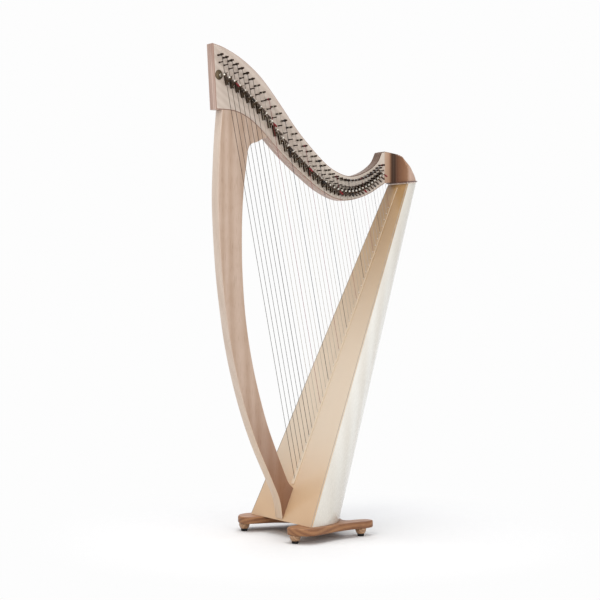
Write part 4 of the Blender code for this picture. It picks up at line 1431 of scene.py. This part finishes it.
@dataclass
class StringBand:
    """The strings with their windings, pins, eyelets and knots, and the levers' brackets."""

    workshop: Workshop
    jig: Jig
    lines: Sequence[StringLine]
    wound_count: int = 7
    gut_count: int = 26
    pin_radius: float = 0.0030
    pin_proud: float = 0.032
    bridge_proud: float = 0.023
    coil_turns: float = 3.5
    coil_steps: int = 14
    coil_gap: float = 0.0001
    before_bend: float = 0.004
    bend_share: float = 0.12
    end_behind: float = 0.0076
    knot_behind: float = 0.0074
    thread_turns: int = 8
    thread_pitch: float = 0.0012
    knot_radius: float = 0.0019
    rib_half: float = 0.010
    rib_depth: float = 0.006
    rib_rounding: float = 0.0015
    rib_past: float = 0.012
    oval_half: tuple[float, float] = (0.0137, 0.0160)
    oval_off: tuple[float, float] = (-0.0066, 0.0010)
    bracket_rise: float = 0.0165

    def _course(self, line: StringLine) -> list[Vector]:
        """Lead one string from its knot over the bridge pin and round its tuning pin.

        Args:
            line: The string.

        Returns:
            The points of its course.
        """
        plan = self.workshop.plan
        inner_z = line.meets_board(plan.board_thickness + self.end_behind)
        middle_z = blend(inner_z, line.bridge_z, 0.5)
        bend = line.at(line.bridge_z)
        course = [line.at(z) for z in (inner_z, middle_z, line.bridge_z - self.before_bend)]
        pin_x, pin_z = line.tuning_axis()
        wrap = self.pin_radius + line.radius
        start = Vector((pin_x + wrap, plan.string_top_y, pin_z))
        course += [bend, bend.lerp(start, self.bend_share)]
        pitch = 2.0 * line.radius + self.coil_gap
        for step in range(int(self.coil_turns * self.coil_steps) + 1):
            turn = step / self.coil_steps
            angle = 2.0 * math.pi * turn
            course.append(Vector((
                pin_x + wrap * math.cos(angle), plan.string_top_y - pitch * turn,
                pin_z + wrap * math.sin(angle),
            )))
        course.append(Vector((pin_x, course[-1].y, pin_z)))
        return course

    def _wires(self, name: str, lines: Sequence[StringLine], finish: str, slot: str,
               stands_for: Sequence[str]) -> None:
        """Draw a set of strings that share a finish.

        Args:
            name: The piece's name.
            lines: The strings.
            finish: Their finish.
            slot: The name of a material slot, which is handed on to piece.
            stands_for: The nodes that the piece takes the place of.
        """
        points: list[Vector] = []
        edges: list[tuple[int, int]] = []
        gauges: list[float] = []
        for line in lines:
            course = self._course(line)
            edges += [(len(points) + k, len(points) + k + 1) for k in range(len(course) - 1)]
            points += course
            gauges += [line.radius] * len(course)
        start = bpy.data.meshes.new(name)
        start.from_pydata(points, edges, [])
        start.attributes.new("gauge", "FLOAT", "POINT").data.foreach_set("value", gauges)
        mesh = self.workshop.grown(name, self.jig.drawn_wire, start, {"Sides": 8}, finish)
        mesh.shade_smooth()
        self.workshop.piece(name, mesh, (), slot, stands_for)

    def _row(self, name: str, places: Iterable[Vector], shells: Iterable[Shell], finish: str,
             slot: str, turn: float = 0.0, seed: int = 7) -> None:
        """Set one fitting out at each place.

        Args:
            name: The piece's name.
            places: Where the copies stand.
            shells: The fitting's shells, drawn about its own place.
            finish: The fitting's finish.
            slot: The name of a material slot, which is handed on to piece.
            turn: How far each copy may be turned about y, in radians.
            seed: The seed of the turns.
        """
        fitting = set_down(f"{name}_pattern", as_mesh(name, joined(shells)))
        start = bpy.data.meshes.new(name)
        start.from_pydata(list(places), [], [])
        values = {"Fitting": fitting, "Turn": turn, "Seed": seed}
        mesh = self.workshop.grown(name, self.jig.set_out, start, values, finish)
        bpy.data.objects.remove(fitting, do_unlink=True)
        self.workshop.piece(name, mesh, (), slot)

    def _tuning_pin(self) -> list[Shell]:
        """Draw a tuning pin about the neck's near face: threaded, with a squared drive end.

        Returns:
            The pin's shells.
        """
        radius = self.pin_radius
        back = self.workshop.plan.neck_thickness + 0.007
        profile = [(0.0, -self.pin_proud), (radius - 0.0008, -self.pin_proud),
                   (radius, -self.pin_proud + 0.0008), (radius, -0.0105)]
        for k in range(self.thread_turns):
            foot = -0.0100 + k * self.thread_pitch
            profile += [(radius - 0.0003, foot), (radius, foot + self.thread_pitch / 2.0)]
        profile += [(radius, back - 0.0006), (radius - 0.0006, back), (0.0, back)]
        squares = [
            [(a * half, back + along, b * half) for a, b in ((-1, -1), (1, -1), (1, 1), (-1, 1))]
            for along, half in ((-0.0003, 0.00205), (0.0105, 0.00190), (0.0120, 0.00135))
        ]
        return [turned(profile, BACKING, 18), skin(squares)]

    def _bridge_pin(self) -> list[Shell]:
        """Draw a bridge pin about the neck's near face, with its string groove.

        Returns:
            The pin's shell.
        """
        off, proud = self.workshop.plan.string_off_neck, self.bridge_proud
        return [turned([
            (0.0, 0.0), (0.0030, 0.0), (0.0030, -0.0008), (0.0021, -0.0012), (0.0020, -0.0016),
            (0.0020, 0.0016 - off), (0.0014, 0.0008 - off), (0.0014, -0.0008 - off),
            (0.0020, -0.0016 - off), (0.0020, 0.0010 - proud), (0.0015, 0.0002 - proud),
            (0.0, -proud),
        ], BACKING, 16)]

    def _eyelet(self) -> list[Shell]:
        """Draw the eyelet that a string passes in the rib, square to the board.

        Returns:
            The eyelet's shell.
        """
        profile = (
            (0.0034, 0.0), (0.0034, 0.0004), (0.0028, 0.0010), (0.0019, 0.0011), (0.0014, 0.0006),
            (0.0014, -0.0010), (0.0020, -0.0010), (0.0020, 0.0),
        )
        square = self.workshop.plan.off_board
        return [skin([
            [square @ on_circle(radius, angle, along) for radius, along in profile]
            for angle in round_steps(20)
        ], closed=True)]

    def _knot(self) -> list[Shell]:
        """Draw the knot that holds a string behind the inner rib.

        Returns:
            The shells of its loops.
        """
        square = self.workshop.plan.off_board
        return [
            hoop([
                square @ on_circle(self.knot_radius, angle,
                                   place + 0.0005 * math.sin(3.0 * angle + turn))
                for angle in round_steps(16)
            ], 0.0009, 6, square @ Vector((0.0, 0.0, 1.0)))
            for place, turn in ((0.0, 0.0), (-0.0012, 1.2))
        ]

    def build(self) -> None:
        """Build the strings and everything that holds them."""
        plan = self.workshop.plan
        plain = self.lines[self.wound_count:]
        red, black = ([line for line in plain if line.note[0] == note.value] for note in Note)
        others = [line for line in plain if line not in red and line not in black]
        gut = [line for line in others if line.number <= self.gut_count]
        nylon = [line for line in others if line.number > self.gut_count]
        wound = self.lines[:self.wound_count]
        self._wires("wound_wires", wound, "wound_wire", "wound_steel", ["bass_wires"])
        self._wires("natural_gut", gut, "natural_gut", "gut", ["gut_strings"])
        self._wires("clear_nylon", nylon, "clear_nylon", "gut", ["nylon_strings"])
        self._wires("red_c_strings", red, "red_dyed_gut", "gut", [])
        self._wires("black_f_strings", black, "black_dyed_gut", "gut", [])

        tuning, bridge = (
            [Vector((x, plan.neck_near_y, z)) for x, z in row] for row in (
                [line.tuning_axis() for line in self.lines],
                [line.bridge_axis() for line in self.lines],
            )
        )
        self._row("tuning_pins", tuning, self._tuning_pin(), "blued_steel", "wound_steel",
                  turn=math.pi, seed=38)
        self._row("bridge_pins", bridge, self._bridge_pin(), "blued_steel", "wound_steel")
        eyelets = [line.at(line.foot_z) for line in self.lines]
        self._row("rib_eyelets", eyelets, self._eyelet(), "ivory_nickel", "wound_steel")
        behind = plan.board_thickness + self.knot_behind
        knots = [line.at(line.meets_board(behind)) for line in self.lines]
        self._row("string_knots", knots, self._knot(), "natural_gut", "gut")
        self._inner_rib()
        self._brackets()

    def _inner_rib(self) -> None:
        """Build the strip that the knots pull against, behind the board."""
        plan = self.workshop.plan
        front = plan.board_thickness + plan.seat
        near, far = plan.behind(front), plan.behind(front + self.rib_depth)
        half, soft = self.rib_half, self.rib_rounding
        outline = [(near, -half), (far - soft, -half), (far, soft - half)]
        outline += [(x, -y) for x, y in reversed(outline)]
        rings = []
        for line, past in ((self.lines[0], -self.rib_past), (self.lines[-1], self.rib_past)):
            z = line.meets_board(front + self.rib_depth / 2.0) + past
            rings.append([(plan.board_x(z) + x, y, z) for x, y in outline])
        self.workshop.drawn("knot_rib", [skin(rings)], ["beech_lining"], "maple_brown")

    def _brackets(self) -> None:
        """Set out what the levers stand on: brackets with two screws, an oval for the lowest."""
        near = self.workshop.plan.neck_near_y
        tilt = Matrix.Rotation(-self.workshop.plan.string_tilt, 4, "Y")
        head = ((0.0, -0.0002), (0.0012, -0.0002), (0.0013, 0.0002), (0.0009, 0.0006),
                (0.0, 0.0007))
        brackets, heads = [], []
        for line in self.lines[1:]:
            x, z = line.lever_axis()
            stand = Matrix.Translation((x, near, z)) @ tilt
            low = -blend(0.0235, 0.0136, line.share)
            brackets += self._bracket(line, low, stand)
            for across, rise, proud in ((0.0, 0.0014, 0.0009), (0.0006, 0.0062, 0.0125)):
                place = Matrix.Translation((across, -proud, low + rise))
                heads.append(turned(head, stand @ place @ FACING, 12))
        self.workshop.drawn("lever_brackets", brackets, ["dark_bronze"], "dark_bronze")
        self.workshop.drawn("bracket_screws", heads, ["nickel_plate"], "wound_steel")
        x, z = self.lines[0].lever_axis()
        place = Matrix.Translation((x + self.oval_off[0], near, z + self.oval_off[1]))
        disc = [(0.0, 0.0), (1.0, 0.0), (1.0, 0.0006), (0.95, 0.0009), (0.0, 0.0010)]
        oval = turned(disc, place @ FACING @ Matrix.Diagonal((*self.oval_half, 1.0, 1.0)), 48)
        self.workshop.drawn("lowest_lever_oval", [oval], ["olive_bronze"], "dark_bronze")

    def _bracket(self, line: StringLine, low: float, stand: Matrix) -> list[Shell]:
        """Draw one lever's bracket: a plate with a wall at its side and its top, and a post.

        Args:
            line: The string.
            low: The height of its foot above the pivot, which is negative.
            stand: Takes the bracket from the neck's face at the origin to its pivot.

        Returns:
            The bracket's shells.
        """
        high = min(self.bracket_rise, line.bridge_z - line.lever_axis()[1] - 0.0042)
        half = blend(0.0064, 0.0054, line.share)
        return [
            plate([(left, foot), (right, foot), (right, top), (left, top)], thickness,
                  stand @ FACING, rounding)
            for left, right, foot, top, thickness, rounding in (
                (-half, half, low, high, 0.0009, 0.0003),
                (-half + 0.0001, -half + 0.0009, low + 0.0040, high - 0.0001, 0.0115, 0.0003),
                (-half + 0.0011, half - 0.0004, high - 0.0013, high - 0.0002, 0.0110, 0.0003),
                (-half + 0.0011, half - 0.0006, low + 0.0044, -0.0054, 0.0125, 0.0012),
            )
        ]


@dataclass
class Levers:
    """The sharping levers: each one a hub, a cam and a handle that turn together."""

    workshop: Workshop
    lines: Sequence[StringLine]
    hub_radius: float = 0.0032
    hub_outer: float = 0.0235
    flange_radius: float = 0.0046
    cam_radius: float = 0.0016
    cam_reach: float = 0.0041
    handle_rise: float = 0.012
    handle_width: float = 0.0042
    tip_width: float = 0.0062
    widest_at: float = 0.86
    handle_thickness: float = 0.0026
    rest_deg: float = -60.0
    squareness: float = 0.55
    longest: float = 0.022
    shortest: float = 0.0142
    step: float = 0.00056

    # For each section, its share of the length, its growth in mm and its share of the width
    BAR = (
        (-0.10, 0.0, 0.7), (-0.06, 0.0, 0.95), (0.0, 0.0, 1.0), (0.25, 0.0, 1.0), (0.5, 0.0, 1.0),
        (0.7, 0.0, 1.0), (0.86, 0.0, 1.0), (0.94, 0.0, 0.90), (0.98, 0.0, 0.70), (1.0, 0.0, 0.45),
    )
    SLEEVE = (
        (0.36, 0.0, 1.0), (0.38, 0.4, 1.0), (0.5, 0.4, 1.0), (0.7, 0.4, 1.0), (0.86, 0.4, 1.0),
        (0.95, 0.4, 0.88), (0.995, 0.2, 0.66), (1.01, 0.0, 0.4),
    )

    def _bar(self, sections: Sequence[Row], length: float, centre: Vector, finish: int) -> Shell:
        """Loft a rounded bar along the handle.

        Args:
            sections: The bar's sections, as in BAR.
            length: The handle's length.
            centre: The pivot.
            finish: The number of the material slot.

        Returns:
            The closed shell.
        """
        angle = math.radians(self.rest_deg)
        along = Vector((math.cos(angle), 0.0, math.sin(angle)))
        across = Vector((-along.z, 0.0, along.x))
        rings = []
        for share, grow_mm, swell in sections:
            grow = grow_mm / 1000.0
            opened = min(share / self.widest_at, 1.0) ** 2
            wide = blend(self.handle_width, self.tip_width, opened)
            y = self.handle_thickness - self.hub_outer - self.handle_rise * max(share, 0.0)
            half_wide = wide / 2.0 * swell + grow
            half_deep = self.handle_thickness / 2.0 * min(swell + 0.25, 1.0) + grow
            ring = []
            for turn in round_steps(12):
                sideways, deep = (
                    math.copysign(abs(part) ** self.squareness, part) * half
                    for part, half in ((math.cos(turn), half_wide), (math.sin(turn), half_deep))
                )
                ring.append(centre + along * (share * length) + across * sideways
                            + Vector((0.0, y + deep, 0.0)))
            rings.append(ring)
        return skin(rings, finish)

    def _one(self, line: StringLine) -> list[Shell]:
        """Draw one lever.

        Args:
            line: Its string.

        Returns:
            Its shells: slot 0 is nickel, 1 the handle's metal and 2 its coloured sleeve.
        """
        plan = self.workshop.plan
        x, z = line.lever_axis()
        centre = Vector((x, plan.neck_near_y, z))
        stand = Matrix.Translation(centre) @ FACING
        hub = turned([
            (0.0, 0.0011), (self.flange_radius, 0.0011), (self.flange_radius, 0.0019),
            (0.0040, 0.0023), (0.0034, 0.0032), (0.0030, 0.0060), (0.0030, 0.0145),
            (self.hub_radius, 0.0160), (self.hub_radius, 0.0228), (0.0028, self.hub_outer),
            (0.0, self.hub_outer),
        ], stand, 20)
        radius, off = self.cam_radius, plan.string_off_neck
        place = on_circle(self.cam_reach - radius, plan.string_tilt - math.pi / 2.0)
        cam = turned([
            (0.0, off - 0.0020), (radius - 0.0003, off - 0.0020), (radius, off - 0.0017),
            (radius, off + 0.0017), (radius - 0.0003, off + 0.0020), (0.0, off + 0.0020),
        ], stand @ Matrix.Translation(place), 14)
        length = min(self.shortest + (line.count - line.number) * self.step, self.longest)
        bars = [self._bar(part, length, centre, slot)
                for slot, part in enumerate((self.BAR, self.SLEEVE), 1)]
        return [hub, cam, *bars]

    def build(self) -> None:
        """Build every lever on its own body."""
        sleeves = {Note.RED.value: "red_sleeve", Note.BLACK.value: "black_sleeve"}
        for line in self.lines:
            finishes = ["nickel_plate", "dark_bronze", sleeves.get(line.note[0], "dark_sleeve")]
            self.workshop.drawn(f"sharping_lever_{line.note}", self._one(line), finishes,
                                "dark_bronze", [f"lever_{line.note}"], f"{line.note}_lever")


@dataclass
class Studio:
    """The pale floor and backdrop, the soft lamps and the camera."""

    plan: HarpPlan
    backdrop: str = "#fdfdfd"
    floor: str = "#e6e6e6"
    floor_speckle: str = "#e3e3e3"
    lens_mm: float = 90.9
    camera_at: tuple[float, float, float] = (-2.6751, -4.0988, 0.814)
    camera_looks: tuple[float, float] = (0.5635, 0.8261)
    fade_from: float = 0.42
    fade_to: float = 1.0

    # For each lamp, where it hangs, what it is aimed at, its size, its power and its tint
    LAMPS = {
        "key": ((-3.0, -2.0, 3.0), (0.0, 0.0, 0.7), 2.4, 64.0, "#fffaf4"),
        "front": ((0.4, -4.2, 2.0), (0.1, 0.0, 0.7), 2.6, 55.0, "#ffffff"),
        "top": ((-0.2, 0.2, 4.2), (0.0, 0.0, 0.0), 3.0, 106.0, "#ffffff"),
        "back": ((1.8, 2.8, 2.6), (0.0, 0.0, 0.9), 2.0, 26.0, "#f6f9ff"),
    }

    def _backed(self, tree: Tree, surface: Socket, share: Union[float, Socket] = 1.0) -> Socket:
        """Let the camera, gloss and glass see the plain backdrop's colour.

        Args:
            tree: The shader's tree.
            surface: The shader that everything else sees.
            share: How much of the backdrop's colour shows.

        Returns:
            The socket with the mixed shader.
        """
        rays = add(tree, "ShaderNodeLightPath").node.outputs
        seen = rays["Is Camera Ray"]
        for ray in ("Is Glossy Ray", "Is Transmission Ray"):
            seen = add(tree, "ShaderNodeMath", (seen, rays[ray]), operation="MAXIMUM")
        shown = add(tree, "ShaderNodeMath", (seen, share), operation="MULTIPLY")
        plain = add(tree, "ShaderNodeEmission", (linear(self.backdrop), 1.0))
        return add(tree, "ShaderNodeMixShader", (shown, surface, plain))

    def _floor(self) -> None:
        """Lay the floor, which fades into the backdrop away from the harp."""
        bm = bmesh.new()
        bmesh.ops.create_grid(bm, x_segments=8, y_segments=8, size=14.0)
        floor = set_down("studio_floor", as_mesh("studio_floor", bm))
        recipe = Recipe("matt_white_paint", self.floor)
        tree, place = recipe.tree, recipe.place
        fine = {"Vector": place, "Scale": 40.0, "Detail": 2.0}
        recipe.lay(self.floor_speckle, add(tree, "ShaderNodeTexNoise", fine, "Fac"))
        material = recipe.finished({"Roughness": 0.9, "Specular IOR Level": 0.1})
        away = add(tree, "ShaderNodeVectorMath", (place,), "Value", operation="LENGTH")
        share = add(tree, "ShaderNodeMapRange", (away, self.fade_from, self.fade_to),
                    interpolation_type="SMOOTHSTEP")
        faded = self._backed(tree, tree.nodes["Principled BSDF"].outputs[0], share)
        tree.links.new(faded, tree.nodes["Material Output"].inputs["Surface"])
        floor.data.materials.append(material)

    def _world(self) -> None:
        """Fill the room with even light."""
        world = bpy.data.worlds.new("soft_room")
        world.use_nodes = True
        bpy.context.scene.world = world
        tree = world.node_tree
        light = add(tree, "ShaderNodeBackground", (linear("#f6f7fa"), 0.52))
        tree.links.new(self._backed(tree, light), tree.nodes["World Output"].inputs["Surface"])

    def _lamps(self) -> None:
        """Hang four large soft lamps."""
        for name, (place, target, size, power, tint) in self.LAMPS.items():
            lamp = bpy.data.lights.new(name, "AREA")
            lamp.size = size
            lamp.energy = power
            lamp.color = linear(tint)[:3]
            thing = set_down(f"{name}_lamp", lamp)
            thing.location = place
            aim = Vector(target) - Vector(place)
            thing.rotation_euler = aim.to_track_quat("-Z", "Y").to_euler()

    def _camera(self) -> None:
        """Stand the camera where the photograph was taken."""
        camera = bpy.data.cameras.new("camera")
        camera.lens = self.lens_mm
        camera.sensor_width = 36.0
        camera.shift_y = -0.025
        camera.clip_end = 60.0
        thing = set_down("camera", camera)
        x, y, z = self.camera_at
        thing.location = (self.plan.shift + x, y, z)
        thing.rotation_euler = (math.pi / 2.0, 0.0, -math.atan2(*self.camera_looks))
        bpy.context.scene.camera = thing

    def build(self) -> None:
        """Build the studio."""
        self._camera()
        self._floor()
        self._world()
        self._lamps()
        bpy.context.scene.view_settings.view_transform = "Standard"


def harp_finishes() -> dict[str, Material]:
    """Make every finish of the harp.

    Returns:
        The materials by name.
    """
    upright = (0.0, -90.0, 0.0)
    raked = (0.0, -66.47, 0.0)
    sloping = (0.0, 38.0, 0.0)
    neck_plies = Plies(10.0, "#8b6c5e", glue_share=0.19, spread=0.62, offset_mm=14.0)
    finishes = (
        # Hard maple under satin varnish, sliced: calm, pale grey-beige, with long soft figure
        WoodFinish("maple_veneer", "#c6b8ac", "#b3a294", "#9c8873", sloping, line_mm=21.0,
                   pore_share=0.2, fades=(Fade("#d2c6b8", -0.15, 0.10, "X"),)),
        # The same maple's plies end on, warmer and striped from face to face
        WoodFinish("maple_ply_edge", "#e3cbbe", "#9f7f70", "#8a6d5c", upright, line_mm=18.0,
                   contrast=0.35, plies=neck_plies, coat=0.2, specular=0.4),
        # The neck's crest at the treble, whose edge turns dark towards the treble end
        WoodFinish("handled_maple_edge", "#cdb1a1", "#a08271", "#8a6d5c", sloping, line_mm=18.0,
                   contrast=0.35, plies=neck_plies, coat=0.0, roughness=0.6, specular=0.2,
                   fades=(Fade("#2c1e12", 0.085, 0.150, "X"),)),
        # The pillar's flats are browner, with grain that runs up it and darkens at the foot
        WoodFinish("pillar_veneer", "#bfa897", "#a68a74", "#876a52", upright, line_mm=30.0,
                   wander=15.0, specular=0.35, fades=(Fade("#754523", 0.56, 0.10),)),
        # Its edges are pale, so that it reads as two tones from the front
        WoodFinish("pillar_ply_edge", "#dfcebf", "#cab5a3", "#a8917f", upright, line_mm=18.0,
                   contrast=0.35, fades=(Fade("#ceb292", 0.60, 0.08),),
                   plies=Plies(8.0, "#b7a08e", 0.14, offset_mm=-13.2, lean_deg=-1.18)),
        # Many brown plies, seen as upright stripes, with painted shade that darkens the cove and
        # painted light that pales the block's near side
        WoodFinish("brown_ply_block", "#ab8773", "#87634f", "#5f4233", upright, line_mm=12.0,
                   contrast=0.35, plies=Plies(6.5, "#d9b8a1", glue_share=0.26, spread=0.4),
                   painted_shade=PaintedCoveShade((
                       (0.268, "#bfa58f"), (0.286, "#ab8971"), (0.294, "#76553d"),
                       (0.300, "#2c1808"), (0.313, "#1f0f03"), (0.330, "#613f2d"),
                       (0.345, "#7d5a44"), (0.362, "#8a644a"), (0.381, "#967259"),
                       (0.392, "#c2a593"),
                   )), coat=0.0, roughness=0.5, specular=0.15),
        # Spruce cut on the quarter: straight fine lines up the board, ambered by its varnish;
        # paler through the middle of its height, and left darker at its top, under the shoulder,
        # as painted shade
        WoodFinish("quartered_spruce", "#b08e62", "#957246", "#7d5c38", raked,
                   figure=Figure.QUARTER_CUT, line_mm=5.0, wander=1.6, pore_share=0.15, coat=0.45,
                   fades=(Fade("#e2d3bf", 1.12, 0.45), Fade("#c69c6c", 0.36, 0.05))),
        # Pale maple bent round in staves, polished under gloss varnish; its two fades are painted
        # shade, darker towards the top and the foot than across its lit middle
        WoodFinish("pale_maple_staves", "#e9e7e0", "#dfdad0", "#c9bba8", raked, line_mm=22.0,
                   contrast=0.92, pore_share=0.0, staves=9, roughness=0.26, coat=0.6,
                   relief_mm=0.003,
                   fades=(Fade("#d0cabe", 0.60, 1.14), Fade("#d1ccc1", 0.45, 0.05))),
        # Maple stained brown: even colour with darker figure round the lobes
        WoodFinish("stained_maple", "#a67750", "#6b4229", "#4d2f1e", pith=(0.1, 0.02, -0.24),
                   line_mm=13.0, contrast=0.55, pore_share=0.45, roughness=0.52, coat=0.05,
                   specular=0.35),
        # Turned maple feet, with the rings of the lathe's own wood
        WoodFinish("turned_maple", "#bd9671", "#835c3c", "#6d5034", pith=(0.0, 0.01, -0.05),
                   line_mm=6.0, contrast=0.6, coat=0.45),
        # The rib that the strings leave the board through, in the board's colour, with its near
        # side painted paler: painted light against the shade that falls on that side
        WoodFinish("spruce_rib", "#b29166", "#9a774b", "#7d5c38", raked, line_mm=5.0, contrast=0.4,
                   fades=(Fade("#e2d3bf", 1.12, 0.45), Fade("#e8dac4", -0.0062, -0.0070, "Y"))),
        # Plain beech inside the box, left without gloss
        WoodFinish("beech_lining", "#cbae8a", "#ad8c67", "#87694a", raked, line_mm=7.0,
                   roughness=0.6, coat=0.0),
        # Pinkish pear for the rims of the sound holes
        WoodFinish("pear_trim", "#dcbca6", "#bd9782", "#8f6d59", raked, line_mm=7.0),
        # A nearly white cap: pale wood whitened further as a painted highlight, so that it shows
        # as a bright line in the shade under the ledge
        WoodFinish("sycamore_cap", "#f7e9dd", "#ead5c5", "#c9ad99"),
        # Dark, close-grained hardwood for the shoulder plate, which draws a dark line over it
        WoodFinish("dark_ledge", "#755548", "#553a2f", "#382520", line_mm=5.0, roughness=0.36),
        # Greyed hardwood strips along the board's sides, duller than the shell beside them
        WoodFinish("grey_binding", "#b3a99b", "#9a9083", "#7e756a", raked, line_mm=4.0),
        # Blued steel pins: nearly black, with a soft brown sheen
        MetalFinish("blued_steel", "#3b2b23", "#1f1511", 0.42),
        # Nickel plate on the levers' hubs and screws, the only bright points on the neck
        MetalFinish("nickel_plate", "#d6d0c6", "#a89f93", 0.30),
        # Dark bronze brackets and handles, and the olive oval under the lowest lever
        MetalFinish("dark_bronze", "#4d3e31", "#271e17", 0.46),
        MetalFinish("olive_bronze", "#5c5040", "#3c3328", 0.46),
        # Nickel gone ivory on the eyelets, so that they show as pale dots up the rib
        MetalFinish("ivory_nickel", "#d8d2c6", "#aaa296", 0.35),
        # Strings: polished gut, clear nylon, dyed ones, and fine wire wound on steel
        CordFinish("natural_gut", "#a39a8a", "#7f7768", 0.45),
        CordFinish("clear_nylon", "#a9a8a6", "#8a8988", 0.30),
        CordFinish("red_dyed_gut", "#7d2226", "#591518", 0.45),
        CordFinish("black_dyed_gut", "#141417", "#08080a", 0.50),
        CordFinish("wound_wire", "#4b443c", "#29231d", 0.42, metallic=1.0),
        # Feet of black rubber, and sleeves of soft plastic on the levers
        MouldedFinish("black_rubber", "#1b1b1c", "#2f2e2d", 0.75),
        MouldedFinish("red_sleeve", "#661217", "#4a0d11", 0.50),
        MouldedFinish("black_sleeve", "#17110e", "#241b16", 0.45),
        MouldedFinish("dark_sleeve", "#33261d", "#45362b", 0.45),
    )
    LOG.info("%d finishes", len(finishes))
    return {finish.name: finish.build() for finish in finishes}


def dress(thing: Thing, material: Material) -> None:
    """Give a node of the frame its finish.

    Args:
        thing: The node.
        material: Its finish.
    """
    if not thing.material_slots:
        thing.data.materials.append(material)
    for slot in thing.material_slots:
        slot.material = material


def main() -> None:
    """Load the frame, and build the harp's looks and the studio."""
    logging.basicConfig(level=logging.INFO, format="%(name)s: %(message)s")
    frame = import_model()
    low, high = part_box("foot_pad_front_near")
    plan = HarpPlan(shift=(low.x + high.x) / 2.0)
    workshop = Workshop(plan, harp_finishes())
    Studio(plan).build()
    for assembly in (BaseAndFeet, Soundbox, Shoulder, NeckAndPillar):
        assembly(workshop).build()
    lines = [StringLine(plan, number) for number in range(1, StringLine.count + 1)]
    StringBand(workshop, Jig(), lines).build()
    Levers(workshop, lines).build()
    for name, finish in (
        ("soundboard", "quartered_spruce"), ("string_rib", "spruce_rib"),
        ("bottom_panel", "beech_lining"), ("soundbox_brace", "beech_lining"),
    ):
        dress(frame["nodes"][name], workshop.looks[finish])


if __name__ == "__main__":
    main()
